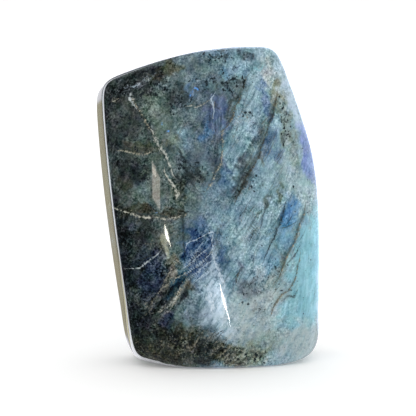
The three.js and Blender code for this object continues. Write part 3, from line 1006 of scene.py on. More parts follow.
@dataclass(frozen=True)
class Mineral:
    """All that lies in the stone, with the painted rim sheen and window glow, read at the points of its
    surface.

    Attributes:
        bend: how far wide ripples move the pools.
        bend_pitch: the widest wavelength of those.
        flutter: how far fine ripples move the pools.
        flutter_pitch: the widest wavelength of those.
        seam_bend: how far ripples move the seams.
        seam_bend_pitch: the widest wavelength of those.
        wander: how far wide ripples move the seams at the back.
        wander_pitch: the widest wavelength of those.
        wander_from: from where to the back the seams wander.
        wander_over: over what depth that grows to its full measure.
        seam_reach: how far from a seam its readings matter.
        stained_width: the half width from which a seam stains the stone in full.
        right_stain: how strong the stain to the right of a seam is, against that to the left.
        spot_reach: how far from a spot its place matters, in parts of its size.
        spot_near: how far from a spot it is near, in parts of its size.
    """

    bend: float = 0.8
    bend_pitch: float = 22.0
    flutter: float = 0.6
    flutter_pitch: float = 5.0
    seam_bend: float = 0.12
    seam_bend_pitch: float = 9.0
    wander: float = 9.0
    wander_pitch: float = 60.0
    wander_from: float = -8.0
    wander_over: float = 30.0
    seam_reach: float = 4.0
    stained_width: float = 0.3
    right_stain: float = 0.4
    spot_reach: float = 9.0
    spot_near: float = 4.0

    def readings(self, points: np.ndarray) -> dict[str, np.ndarray]:
        """All readings at some points.

        Args:
            points: one point a row.

        Returns:
            A list of readings for each name, in the order in which the mesh carries them.
        """
        found: dict[str, np.ndarray] = {}
        moved = self._moved(points, 10, self.bend_pitch, self.bend)
        moved = self._moved(moved, 20, self.flutter_pitch, self.flutter)
        for kind, layers in (("layer", LAYERS), ("veil", VEILS_AND_SHEEN)):
            for number, layer in enumerate(layers):
                found[f"{kind} {number}"] = deepest(layer.pools, moved)
        for name, pools in REGIONS.items():
            found[name] = deepest(pools, moved)
        found["glints"] = deepest(GLINTS, points)
        found.update(zip(SPOT_PARTS, self._spot_readings(points)))
        wandered = self._wandered(points)
        for number, net in enumerate(all_nets()):
            parts = self._seam_readings(wandered, net.seams)
            found.update((f"net {number} {part}", values) for part, values in zip(NET_PARTS, parts))
        return found

    @staticmethod
    def _moved(points: np.ndarray, seed: int, pitch: float, reach: float) -> np.ndarray:
        """Moves points, one a row, by up to a reach with the ripples of a seed and a widest wavelength."""
        return points + reach * np.stack([Ripple(seed + axis, pitch)(points) for axis in range(3)], axis=1)

    def _spot_readings(self, points: np.ndarray) -> Iterator[np.ndarray]:
        """How each point lies to the spot nearest to it.

        Args:
            points: one point a row.

        Yields:
            How far right of the spot each point lies, how far above it, both in parts of the spot's size, and
            how near it is.
        """
        place = np.full((len(points), 2), self.spot_reach)
        best = np.full(len(points), np.inf)
        for spot in SPOTS:
            off = (points[:, (0, 2)] - (spot.x, spot.z)) / (spot.width, spot.height)
            gap = np.where(points[:, 1] < 0, np.hypot(*off.T), np.inf)
            closer = gap < best
            best[closer] = gap[closer]
            place[closer] = off[closer]
        yield from np.clip(place, -self.spot_reach, self.spot_reach).T
        yield np.clip(1 - best / self.spot_near, 0, 1)

    def _wandered(self, points: np.ndarray) -> np.ndarray:
        """Moves points as the seams wander, more strongly towards the back.

        Args:
            points: one point a row.

        Returns:
            The moved points.
        """
        depth = np.clip((points[:, 1] - self.wander_from) / self.wander_over, 0, 1)[:, None]
        wander = self._moved(points, 40, self.wander_pitch, self.wander) - points
        return self._moved(points, 30, self.seam_bend_pitch, self.seam_bend) + depth * wander

    def _seam_readings(self, moved: np.ndarray, seams: Sequence[Seam]) -> Iterator[np.ndarray]:
        """What the nearest seam does at each point.

        Args:
            moved: the points as the seams wander, one a row.
            seams: the seams.

        Yields:
            How far right of the seam each point lies, the seam's half width and strength, how near it is, its
            paleness, and the stain beside it.
        """
        best = np.full(len(moved), np.inf)
        line = np.zeros((len(moved), 3))
        look = np.zeros((len(moved), 3))
        for seam in seams:
            close = seam.nearby(moved, self.seam_reach)
            side, width = seam.side_readings(moved[close])
            gap = np.abs(side) - width
            stain = seam.shade * np.clip(1 - gap / self.seam_reach, 0, 1)
            stain *= np.minimum(1, width / self.stained_width) * np.where(side < 0, 1, self.right_stain)
            look[close, 2] = np.maximum(look[close, 2], stain)
            closer = gap < best[close]
            rows = close[closer]
            best[rows] = gap[closer]
            line[rows] = np.stack((side, width, np.full_like(side, seam.strength)), axis=1)[closer]
            look[rows, 1] = seam.pale
        line[:, 0] = np.clip(line[:, 0], -self.seam_reach, self.seam_reach)
        look[:, 0] = np.clip(1 - best / self.seam_reach, 0, 1)
        yield from line.T
        yield from look.T


class Readings:
    """The readings that the mesh carries at its corners, three to an attribute."""

    def __init__(self, bench: NodeBench, names: Sequence[str]) -> None:
        """Gets ready to bring readings to a bench.

        Args:
            bench: where they are used.
            names: the names of all the readings that the mesh carries, in order.
        """
        self.bench = bench
        self.names = names
        self.triples: dict[int, tuple[Wire, Wire, Wire]] = {}

    @staticmethod
    def carry(mesh: bpy.types.Mesh, readings: dict[str, np.ndarray]) -> None:
        """Writes readings to a mesh.

        Args:
            mesh: the mesh.
            readings: lists of one reading for each corner of the mesh, by name.
        """
        rows = list(readings.values())
        rows += [np.zeros_like(rows[0])] * (-len(rows) % 3)
        for start in range(0, len(rows), 3):
            attribute = mesh.attributes.new(f"mineral_{start // 3}", "FLOAT_VECTOR", "POINT")
            values = np.stack(rows[start:start + 3], axis=1).astype(np.float32)
            attribute.data.foreach_set("vector", values.ravel())

    def __getitem__(self, name: str) -> Wire:
        """Brings one reading to the bench.

        Args:
            name: the reading's name.

        Returns:
            The reading.
        """
        triple, part = divmod(self.names.index(name), 3)
        if triple not in self.triples:
            settings = {"attribute_type": "GEOMETRY", "attribute_name": f"mineral_{triple}"}
            attribute = self.bench.node("ShaderNodeAttribute", settings, (), "Vector")
            self.triples[triple] = self.bench.parts(attribute)
        return self.triples[triple][part]


@dataclass
class Graining:
    """The noises that the finish uses throughout, each from about 0 to 1.

    Attributes:
        place: the point in millimetres.
        grain: the grain, a little longer than wide.
        shards: the finest unevenness.
        fibre: long slanting fibres.
        glitter: small crisp patches.
        jag: the unevenness of seams.
    """

    place: Wire
    grain: Wire
    shards: Wire
    fibre: Wire
    glitter: Wire
    jag: Wire

    @classmethod
    def on(cls, bench: NodeBench, unit: float) -> Graining:
        """Adds the noises to a bench.

        Args:
            bench: where nodes are added.
            unit: one written millimetre, in metres.

        Returns:
            The noises.
        """
        place = bench.scaled(bench.node("ShaderNodeTexCoord", {}, {}, "Object"), 1 / unit)
        grain = bench.clouds(bench.along(place, 30, 2), 1.5, 6, 0.62)
        shards = bench.clouds(place, 0.7, 3, 0.65)
        fibre = bench.clouds(bench.along(place, 27, 12), 0.75, 4, 0.7)
        glitter = bench.clouds(bench.vector("ADD", place, (17, 3, 29)), 1.1, 4, 0.7)
        jag = bench.clouds(place, 1.7, 6, 0.8) - 0.5
        return cls(place, grain, shards, fibre, glitter, jag)


# The readings between which the edge of a pool fades in.
EDGE = (-1.0, 1.0)


@dataclass(frozen=True)
class Unevenness:
    """How far each kind of unevenness lightens and darkens the stone, in parts of the screen's range.

    Attributes:
        cloud: broad clouds.
        sweep: slanting clouds.
        drawn_sweep: what the fibrous places add to them.
        grain: the grain.
        shards: the finest unevenness.
        patches: small crisp patches.
        fibre: long slanting fibres.
        drawn_fibre: what the fibrous places add to them.
        drape: upright streaks in the calm places.
        wisp: thin bright and dark wisps in the fibrous places.
        plain_wisp: how much of them shows elsewhere, in parts of all.
        dulling: by how much all is darkened.
        hue: how far the hue strays.
        darkest: the darkest colour that is left.
    """

    cloud: float = 0.3
    sweep: float = 0.3
    drawn_sweep: float = 0.25
    grain: float = 0.35
    shards: float = 0.75
    patches: float = 0.07
    fibre: float = 0.05
    drawn_fibre: float = 0.35
    drape: float = 0.5
    wisp: float = 0.12
    plain_wisp: float = 0.2
    dulling: float = 0.015
    hue: float = 0.08
    darkest: Colour = (0.02, 0.025, 0.025)


class StoneLook:
    """The colour of the stone, laid on step by step, its flash and its open seams."""

    def __init__(self, bench: NodeBench, readings: Readings, unit: float) -> None:
        """Starts with the ground colour, with its painted shade on the left.

        Args:
            bench: where nodes are added.
            readings: what the mesh carries.
            unit: one written millimetre, in metres.
        """
        self.bench = bench
        self.readings = readings
        self.noise = Graining.on(bench, unit)
        self.colour = self._ground_with_left_shade()
        self.flash: Wire | float = 0.0
        self.open_seam: Wire | float = 0.0

    def _ground_with_left_shade(self) -> Wire:
        """The ground colour, from dark on the left to pale on the right, with a wandering boundary; the dark
        left is partly painted shade.

        Returns:
            The colour.
        """
        drift = self.bench.scaled(self.bench.hues(self.noise.place, 14, 5), 16)
        place = self.bench.parts(self.bench.vector("ADD", self.noise.place, drift))[0]
        low, high = GROUND_WITH_LEFT_SHADE[0][0], GROUND_WITH_LEFT_SHADE[-1][0]
        stops = [((at - low) / (high - low), tint.screen) for at, tint in GROUND_WITH_LEFT_SHADE]
        return self.bench.node("ShaderNodeValToRGB", {"stops": stops}, ((place - low) / (high - low),))

    def _cover(self, amount: Source, tint: Tint | Wire) -> None:
        """Lets a colour show over what is there, by an amount from 0 to 1."""
        over = tint.screen if isinstance(tint, Tint) else tint
        self.colour = self.bench.mixed(amount, self.colour, over)

    def lay(self, layers: Sequence[Layer], kind: str) -> None:
        """Lays minerals on, or the veils with their painted sheen and glow.

        Args:
            layers: the minerals or veils, from the lowest up.
            kind: the first word of their readings' names.
        """
        ragged = self.noise.grain * 2.2 + self.noise.fibre * 1.2 - 1.7
        for number, layer in enumerate(layers):
            mask = (self.readings[f"{kind} {number}"] + ragged * layer.ragged).eased(*EDGE)
            self._cover(mask, layer.tint)
            if layer.flash:
                self.flash = mask * layer.flash + self.flash

    def roughen(self, amounts: Unevenness = Unevenness()) -> None:
        """Clouds, mottles and streaks the colour.

        Args:
            amounts: how strong each kind of unevenness is.
        """
        bench, noise = self.bench, self.noise
        drawn, draped = self.readings["fibres"].eased(*EDGE), self.readings["drapes"].eased(*EDGE)
        cloud = bench.clouds(noise.place, 5, 5, 0.6) - 0.5
        sweep = bench.clouds(bench.along(noise.place, 34, 5), 1.9, 5, 0.6) - 0.5
        drape = bench.clouds(bench.along(noise.place, 5, 9), 1.3, 4, 0.65) - 0.5
        lively = bench.clouds(noise.place, 7, 2).eased(0.35, 0.65, 0.55, 1.2) * draped.eased(0, 1, 1, 0.45)
        fine = (noise.grain - 0.5) * amounts.grain + (noise.shards - 0.5) * amounts.shards
        fine = fine + (noise.glitter.eased(0.42, 0.58) - 0.5) * amounts.patches
        value = cloud * amounts.cloud + sweep * (amounts.sweep + drawn * amounts.drawn_sweep) + fine * lively
        value = value + (noise.fibre - 0.5) * (drawn * amounts.drawn_fibre + amounts.fibre)
        value = value * self.readings["bold"].eased(*EDGE, 1, 1.7) + drape * draped * amounts.drape
        threads = bench.clouds(bench.along(noise.place, 31, 9), 1.5, 3, 0.6)
        bright, dark = (abs(threads - level).eased(0, 0.02, amounts.wisp, 0) for level in (0.56, 0.45))
        wispy = drawn * (1 - amounts.plain_wisp) + amounts.plain_wisp
        value = value + (bright - dark) * wispy - amounts.dulling
        hue = bench.scaled(bench.hues(noise.place, 3, 5), amounts.hue)
        shade = bench.vector("ADD", bench.scaled((1.0, 1.0, 1.0), value), hue)
        self.colour = bench.vector("MAXIMUM", bench.vector("ADD", self.colour, shade), amounts.darkest)

    def speckle(self) -> None:
        """Strews dark specks, crowded where the crowds are, and pale flecks."""
        crowd, strewn = self.readings["crowds"].eased(*EDGE), self.readings["flecks"].eased(*EDGE)
        blotches = self.bench.clouds(self.noise.place, 2.2, 4, 0.7) + crowd * 0.14
        self._cover(blotches.eased(0.58, 0.70) * crowd * 0.7, Tint.CHARCOAL)
        specks = self.bench.clouds(self.noise.place, 1.2, 2, 0.6) + crowd * 0.15
        self._cover(specks.eased(0.68, 0.75) * 0.85, Tint.NIGHT)
        elsewhere = self.bench.vector("ADD", self.noise.place, (40, 7, 13))
        flecks = self.bench.clouds(elsewhere, 0.8, 3, 0.7) + strewn * 0.06
        self._cover(flecks.eased(0.60, 0.80) * (strewn * 0.4 + 0.25), Tint.TAN)

    def spot(self) -> None:
        """Puts the small dark spots on the front."""
        across, up, near = (self.readings[part] for part in SPOT_PARTS)
        away = across * across + up * up + (self.noise.shards - 0.5) * 3
        self._cover(away.eased(0.3, 1.2, 0.8, 0) * near.eased(0.6, 0.7), Tint.NIGHT)

    def crack(self, number: int, jag: float) -> None:
        """Lays the cracks and veins of one net on.

        Args:
            number: the number of the net.
            jag: how jagged the net is.
        """
        bench, noise = self.bench, self.noise
        found = (self.readings[f"net {number} {part}"] for part in NET_PARTS)
        side, width, strength, near, pale, stain = found
        stained = (stain + noise.grain * 1.4 + noise.fibre * 1.2 - 1.6).eased(0, 0.7, 0, 0.85)
        self._cover(stained, bench.vector("MULTIPLY", self.colour, (0.66, 0.63, 0.58)))
        edge = side + noise.jag * jag
        closest = 0.9 - jag * 0.08
        full = near.eased(closest - 0.05, closest + 0.03) * strength
        reach = width * (noise.shards * 6.4 - 2.3).at_least(0.02) + 0.03
        broken = noise.glitter.eased(0.36, 0.6, 0.3, 1)
        dark = (abs(edge) / reach).eased(0.3, 1.6, 0.85, 0) * full * pale.eased(1, 2, 1, 0) * broken
        self._cover(dark, bench.mixed(pale.eased(0, 0.4), Tint.NIGHT.screen, Tint.BROWN_DARK.screen))
        flecked = (pale * 0.2 + noise.glitter).eased(0.62, 0.86)
        thread = (abs(edge - width * 0.6) / reach).eased(0.2, 1.2, 1, 0) * full * flecked
        crumbs = (noise.glitter + near * 0.3).eased(0.88, 0.98, 0, 0.8) * full
        light = thread.at_least(crumbs * pale.eased(0.7, 1))
        light_tint = bench.mixed(pale.eased(1, 2), Tint.TAN.screen, Tint.MILKY_BLUE_AND_GLOW.screen)
        self._cover(light, bench.mixed(pale.eased(2, 3), light_tint, Tint.FROST.screen))
        self.open_seam = dark.at_least(light * 0.5).at_least(self.open_seam)

    def glint(self) -> None:
        """Puts the small blue glints in."""
        shown = self.readings["glints"] + (self.noise.shards - 0.5) * 5
        self._cover(shown.eased(-0.2, 1.2, 0, 0.85), Tint.BLUE_ELECTRIC)


@dataclass(frozen=True)
class LabradoriteFinish:
    """The finish of the stone: its ground with painted shade on the left, layers, veils with a painted sheen
    and glow, seams and specks under a clear polish.

    Attributes:
        unit: one written millimetre, in metres.
        readings: the names of the readings that the mesh carries, in order.
        roughness: how rough the mineral is where its grain is least.
        grain_roughness: what its grain adds to that.
        grain_height: how high the grain stands, against the depth of an open seam.
        bump: how strongly grain and seams turn the light.
        bump_depth: how deep an open seam is, in written millimetres.
        polish_loss: how much of the polish an open seam lacks.
        polish_roughness: how rough the polished face is.
        polish_ior: how strongly the polished face reflects.
    """

    unit: float
    readings: tuple[str, ...]
    roughness: float = 0.3
    grain_roughness: float = 0.25
    grain_height: float = 0.6
    bump: float = 0.3
    bump_depth: float = 0.1
    polish_loss: float = 0.5
    polish_roughness: float = 0.03
    polish_ior: float = 1.5

    def make(self) -> bpy.types.Material:
        """Builds the material.

        Returns:
            The material.
        """
        material = bpy.data.materials.new("polished_labradorite")
        material.use_nodes = True
        bench = NodeBench(material.node_tree)
        look = StoneLook(bench, Readings(bench, self.readings), self.unit)
        look.lay(LAYERS, "layer")
        look.roughen()
        look.speckle()
        look.spot()
        # the veils carry the painted rim sheen and the partly painted window glow
        look.lay(VEILS_AND_SHEEN, "veil")
        for number, net in enumerate(all_nets()):
            look.crack(number, net.jag)
        look.glint()
        height = look.noise.grain * self.grain_height - look.open_seam
        bump = {"Strength": self.bump, "Distance": self.bump_depth * self.unit, "Height": height}
        surface = {
            "Base Color": bench.node("ShaderNodeGamma", {}, (look.colour, SCREEN_GAMMA)),
            "Roughness": self.roughness + look.noise.grain * self.grain_roughness,
            "Metallic": look.flash,
            "Coat Weight": 1 - look.open_seam * self.polish_loss,
            "Normal": bench.node("ShaderNodeBump", {}, bump),
            "Specular IOR Level": 0.0,
            "Coat Roughness": self.polish_roughness,
            "Coat IOR": self.polish_ior,
        }
        shader = bench.node("ShaderNodeBsdfPrincipled", {}, surface)
        bench.node("ShaderNodeOutputMaterial", {}, {"Surface": shader})
        return material


# ---- The stone ----


@dataclass(frozen=True)
class SideLap:
    """One flat lap of the side: the way it faces round the outline, its tip to the back, and its distance."""

    around: float
    back: float
    distance: float

    @property
    def normal(self) -> np.ndarray:
        """The unit vector that the lap faces."""
        turn, tip = math.radians(self.around), math.radians(self.back)
        return np.array((math.cos(turn) * math.cos(tip), math.sin(tip), math.sin(turn) * math.cos(tip)))


@dataclass(frozen=True)
class Dome:
    """A domed face: how far its crown stands from the middle, and its radii across and along the stone."""

    crown: float
    across_radius: float
    along_radius: float


@dataclass(frozen=True)
class Swell:
    """A place round the outline where the stone stands out a little, or in where the share is negative.

    Attributes:
        around: where it is round the outline, in degrees.
        spread: how wide it is, in degrees.
        share: how far it stands out, in parts of its distance from the middle.
        front: from where it acts, from front to back.
        back: up to where it acts.
        fade: over how many millimetres it fades in and out there.
    """

    around: float
    spread: float
    share: float
    front: float = -99.0
    back: float = 99.0
    fade: float = 8.0

    def reading(self, around: np.ndarray, through: np.ndarray) -> np.ndarray:
        """How far it moves some points.

        Args:
            around: where they are round the outline, in degrees.
            through: where they are from front to back.

        Returns:
            The share for each of them.
        """
        begun = np.clip((through - self.front) / self.fade, 0, 1)
        left = np.clip((self.back - through) / self.fade, 0, 1)
        return self.share * begun * left * np.exp(-(((around - self.around) / self.spread) ** 2))


@dataclass(frozen=True)
class StoneForm:
    """The shape of the stone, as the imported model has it.

    Attributes:
        middle: where every ray starts, from the origin.
        laps: the flat laps round the outline. A fitting program gave their distances, rounded to 0.5.
        front: the domed front.
        back: the domed back.
        dome_lean: how far the tops of the domes lean to the left, in degrees.
        bevel_turn: which way the right bevel faces, in degrees from straight forward.
        bevel_distance: how far the bevel lies from the middle.
        sharpness: how tightly neighbouring surfaces meet.
        swells: what the worn lower left corner adds and takes away.
        swells_from: from how near the outline the swells act; 1 is on it.
        swells_over: within how much of that they grow to their full share.
        deepest_front: a depth that lies well in front of the stone.
        halvings: how often the depth of a point on the front is halved.
    """

    middle: Measures = (-0.15, 0.5, 55.15)
    laps: tuple[SideLap, ...] = (
        SideLap(-5, 0, 42.5), SideLap(5, 1, 38), SideLap(13, 2, 42), SideLap(21, 4, 38.5),
        SideLap(90, 9, 53), SideLap(100, 9, 54.5), SideLap(108, 9, 52), SideLap(118, 9, 58),
        SideLap(177, 0, 43.5), SideLap(184, 0, 37), SideLap(189, 0, 36.5), SideLap(259, 0, 58.5),
        SideLap(272, 0, 56.5), SideLap(302, 0, 64.5),
    )
    front: Dome = Dome(21.5, 74, 420)
    back: Dome = Dome(20.5, 120, 420)
    dome_lean: float = 9.0
    bevel_turn: float = 55.0
    bevel_distance: float = 36.0
    sharpness: float = 22.0
    swells: tuple[Swell, ...] = (
        Swell(238, 8, 0.018, -13, 13),
        Swell(244, 8, -0.014),
    )
    swells_from: float = 0.93
    swells_over: float = 0.05
    deepest_front: float = -40.0
    halvings: int = 30

    def _dome_reading(self, rays: np.ndarray, dome: Dome, towards: np.ndarray) -> np.ndarray:
        """How strongly a dome limits each ray.

        Args:
            rays: unit vectors, one a row.
            dome: the dome.
            towards: how much of each ray points towards the dome's crown.

        Returns:
            One over the distance to the dome along each ray.
        """
        lean = math.radians(self.dome_lean)
        across = rays[:, 0] * math.cos(lean) + rays[:, 2] * math.sin(lean)
        along = rays[:, 2] * math.cos(lean) - rays[:, 0] * math.sin(lean)
        drop = across**2 / (2 * dome.across_radius) + along**2 / (2 * dome.along_radius)
        return (np.sqrt(towards**2 + 4 * dome.crown * drop) + towards) / (2 * dome.crown)

    def distances(self, rays: np.ndarray) -> np.ndarray:
        """How far the surface is from the middle.

        Args:
            rays: unit vectors, one a row.

        Returns:
            The distance along each ray.
        """
        sides = sum(np.maximum(0, rays @ lap.normal / lap.distance) ** self.sharpness for lap in self.laps)
        turn = math.radians(self.bevel_turn)
        bevel = rays @ np.array((math.sin(turn), -math.cos(turn), 0)) / self.bevel_distance
        front = self._dome_reading(rays, self.front, -rays[:, 1])
        back = self._dome_reading(rays, self.back, rays[:, 1])
        faces = front**self.sharpness + back**self.sharpness + np.maximum(0, bevel) ** self.sharpness
        plain = (sides + faces) ** (-1 / self.sharpness)
        around = np.degrees(np.arctan2(rays[:, 2], rays[:, 0])) % 360
        outer = np.clip((np.hypot(rays[:, 0], rays[:, 2]) - self.swells_from) / self.swells_over, 0, 1)
        swelling = sum(swell.reading(around, rays[:, 1] * plain) for swell in self.swells)
        return plain * (1 + outer**2 * (3 - 2 * outer) * swelling)

    def _on_front(self, x: float, z: float) -> Vector:
        """The front's point at a place, found by halving the depth between the middle and well in front.

        Args:
            x: the place, to the right.
            z: the place, over the foot.

        Returns:
            The point, in written millimetres.
        """
        near, far = 0.0, self.deepest_front
        for _ in range(self.halvings):
            half = (near + far) / 2
            offset = np.array(((x, half, z),)) - np.array(self.middle)
            length = float(np.linalg.norm(offset))
            inside = length < self.distances(offset / length)[0]
            near, far = (half, far) if inside else (near, half)
        return Vector((x, near, z))

    def front_point(self, x: float, z: float) -> tuple[Vector, Vector]:
        """The point of the front that lies straight behind a place, and the way the surface faces there.

        Args:
            x: the place, to the right.
            z: the place, over the foot.

        Returns:
            The point and the unit normal, in written millimetres.
        """
        step = 0.5
        across = self._on_front(x + step, z) - self._on_front(x - step, z)
        along = self._on_front(x, z + step) - self._on_front(x, z - step)
        return self._on_front(x, z), across.cross(along).normalized()


@dataclass(frozen=True)
class Relief:
    """The small unevenness that the polish left: a faint waviness, grooves along the seams, pits and chips.

    Attributes:
        waviness: how deep the faint waves are.
        wave_pitch: how long they are.
        groove: how deep the grooves along the widest seams are.
        groove_reach: how wide those are to each side.
        open_width: the half width from which a seam has its full groove.
        pit: how deep the pits of the spots are.
        pit_reach: how wide the pits are, against the spots.
        chips: how many chips the edge round the foot has.
        chip_depth: how deep they are, against their radius.
        chip_heights: how high the lowest and the highest may sit.
        chip_radii: the smallest and the largest radius.
        chip_top: a height that no chip reaches.
        chip_seed: the number that settles where the chips are.
        calm_foot: up to what height nothing is moved, so that the foot stays flat.
    """

    waviness: float = 0.004
    wave_pitch: float = 30.0
    groove: float = 0.05
    groove_reach: float = 0.7
    open_width: float = 0.5
    pit: float = 0.04
    pit_reach: float = 1.5
    chips: int = 9
    chip_depth: float = 0.25
    chip_heights: tuple[float, float] = (2.0, 4.0)
    chip_radii: tuple[float, float] = (0.7, 1.6)
    chip_top: float = 6.0
    chip_seed: int = 8
    calm_foot: float = 1.2

    def depths(self, points: np.ndarray, readings: dict[str, np.ndarray]) -> np.ndarray:
        """How far each point is moved inwards.

        Args:
            points: the points, one a row.
            readings: the minerals' readings at the points, by name.

        Returns:
            The depths.
        """
        depths = self.waviness * (1 + np.clip(Ripple(60, self.wave_pitch, 1)(points), -1, 1))
        for number in range(THREAD_NETS, THREAD_NETS + SEAM_NETS):
            side, width, strength, _, pale, _ = (readings[f"net {number} {part}"] for part in NET_PARTS)
            open_share = np.clip(width / self.open_width, 0, 1) * strength * np.clip(1 - pale, 0, 1)
            depths += self.groove * open_share * np.clip(1 - np.abs(side) / self.groove_reach, 0, 1)
        across, up, _ = (readings[part] for part in SPOT_PARTS)
        depths += self.pit * np.clip(self.pit_reach - np.hypot(across, up), 0, 1)
        depths += self._chip_depths(points)
        return depths * np.clip(points[:, 2] - self.calm_foot, 0, 1)

    def _chip_depths(self, points: np.ndarray) -> np.ndarray:
        """How deep the chips round the foot are at each point.

        Args:
            points: the points, one a row.

        Returns:
            The depths.
        """
        draw = np.random.default_rng(self.chip_seed)
        low = np.flatnonzero(points[:, 2] < self.chip_top)
        depths = np.zeros(len(points))
        for _ in range(self.chips):
            turn = draw.uniform(0, 2 * math.pi)
            height, radius = draw.uniform(*self.chip_heights), draw.uniform(*self.chip_radii)
            ahead = points[low, 0] * math.cos(turn) + points[low, 1] * math.sin(turn)
            beside = points[low, 1] * math.cos(turn) - points[low, 0] * math.sin(turn)
            off = np.hypot(beside, points[low, 2] - height) / radius
            share = np.clip(1 - off**2, 0, 1) * (ahead > 0)
            depths[low] = np.maximum(depths[low], self.chip_depth * radius * share)
        return depths


@dataclass
class PolishedStone:
    """The stone itself.

    Attributes:
        unit: one written millimetre, in metres.
        form: its shape.
        counts: how many rays stand side by side across, through and up.
        proportions: the box on which the rays are laid out.
        crowding: how strongly the rays crowd towards the box's edges.
        foot_rounding: the radius of the worn edge round the sawn foot.
        foot_steps: in how many steps that edge turns.
        tight: how close points have to be to count as one, in metres.
    """

    unit: float
    form: StoneForm = field(default_factory=StoneForm)
    counts: tuple[int, int, int] = (148, 36, 218)
    proportions: Measures = (78, 42, 110)
    crowding: float = 0.8
    foot_rounding: float = 0.9
    foot_steps: int = 5
    tight: float = 1e-7

    def build(self) -> bpy.types.Object:
        """Builds the stone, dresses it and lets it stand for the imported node.

        Returns:
            The finished piece.
        """
        directions, quads = self._ray_net()
        points = directions * self.form.distances(directions)[:, None] + np.array(self.form.middle)
        mesh = bpy.data.meshes.new("polished_stone")
        mesh.from_pydata((points * self.unit).tolist(), [], quads.tolist())
        self._saw_foot(mesh)
        mesh.polygons.foreach_set("use_smooth", [True] * len(mesh.polygons))
        points = self._of_corners(mesh, "co") / self.unit
        readings = Mineral().readings(points)
        Readings.carry(mesh, readings)
        points -= self._of_corners(mesh, "normal") * Relief().depths(points, readings)[:, None]
        mesh.vertices.foreach_set("co", (points * self.unit).ravel())
        mesh.update()
        mesh.materials.append(LabradoriteFinish(self.unit, tuple(readings)).make())
        piece = bpy.data.objects.new("polished_stone", mesh)
        bpy.context.scene.collection.objects.link(piece)
        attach(piece, BODY)
        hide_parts(NODE)
        return piece

    @staticmethod
    def _of_corners(mesh: bpy.types.Mesh, what: str) -> np.ndarray:
        """Reads a vector from every corner of a mesh.

        Args:
            mesh: the mesh.
            what: the vector's name.

        Returns:
            The vectors, one a row.
        """
        values = np.empty(len(mesh.vertices) * 3)
        mesh.vertices.foreach_get(what, values)
        return values.reshape(-1, 3)

    def _ray_net(self) -> tuple[np.ndarray, np.ndarray]:
        """Lays a net of rays out over a box.

        Returns:
            The rays as unit vectors, and the net's meshes as four ray numbers each, facing outwards.
        """
        counts = np.array(self.counts)
        corners: list[np.ndarray] = []
        for axis in range(3):
            first, second = (axis + 1) % 3, (axis + 2) % 3
            one, two = np.meshgrid(np.arange(counts[first]), np.arange(counts[second]), indexing="ij")
            for level in (0, counts[axis]):
                steps = ((0, 0), (1, 0), (1, 1), (0, 1))
                quad = np.zeros((one.size, 4, 3), int)
                for corner, (right, up) in enumerate(steps if level else steps[::-1]):
                    quad[:, corner, axis] = level
                    quad[:, corner, first] = one.ravel() + right
                    quad[:, corner, second] = two.ravel() + up
                corners.append(quad)
        places, quads = np.unique(np.concatenate(corners).reshape(-1, 3), axis=0, return_inverse=True)
        reach = self.crowding * math.pi / 2
        crowded = np.sin((places / counts * 2 - 1) * reach) / math.sin(reach) * np.array(self.proportions)
        rays = crowded / np.linalg.norm(crowded, axis=1)[:, None]
        return rays, quads.reshape(-1, 4)

    def _saw_foot(self, mesh: bpy.types.Mesh) -> None:
        """Cuts the foot flat at the floor and rounds the edge of the cut.

        Args:
            mesh: the stone's mesh, in metres.
        """
        work = bmesh.new()
        work.from_mesh(mesh)
        radius = self.foot_rounding * self.unit
        for step in range(self.foot_steps + 1):
            level = radius * (1 - math.cos(math.pi / 2 * step / self.foot_steps))
            low = [face for face in work.faces if min(v.co.z for v in face.verts) < radius * 3]
            # Dictionaries keep the order, which sets would change from run to run.
            corners = dict.fromkeys(v for face in low for v in face.verts)
            edges = dict.fromkeys(e for face in low for e in face.edges)
            parts = [*corners, *edges, *low]
            plane = {"plane_co": (0, 0, level), "plane_no": (0, 0, -1)}
            bmesh.ops.bisect_plane(work, geom=parts, dist=self.tight, clear_outer=step == 0, **plane)
        rim = [edge for edge in work.edges if edge.is_boundary]
        foot = bmesh.ops.contextual_create(work, geom=rim)["faces"]
        for vertex in work.verts:
            height = vertex.co.z
            if height < radius:
                outward = Vector((vertex.co.x, vertex.co.y, 0)).normalized()
                vertex.co -= outward * (radius - math.sqrt(radius**2 - (radius - max(height, 0)) ** 2))
        bmesh.ops.inset_individual(work, faces=foot, thickness=radius, use_even_offset=True)
        bmesh.ops.recalc_face_normals(work, faces=work.faces[:])
        work.to_mesh(mesh)
        work.free()


# ---- The studio ----


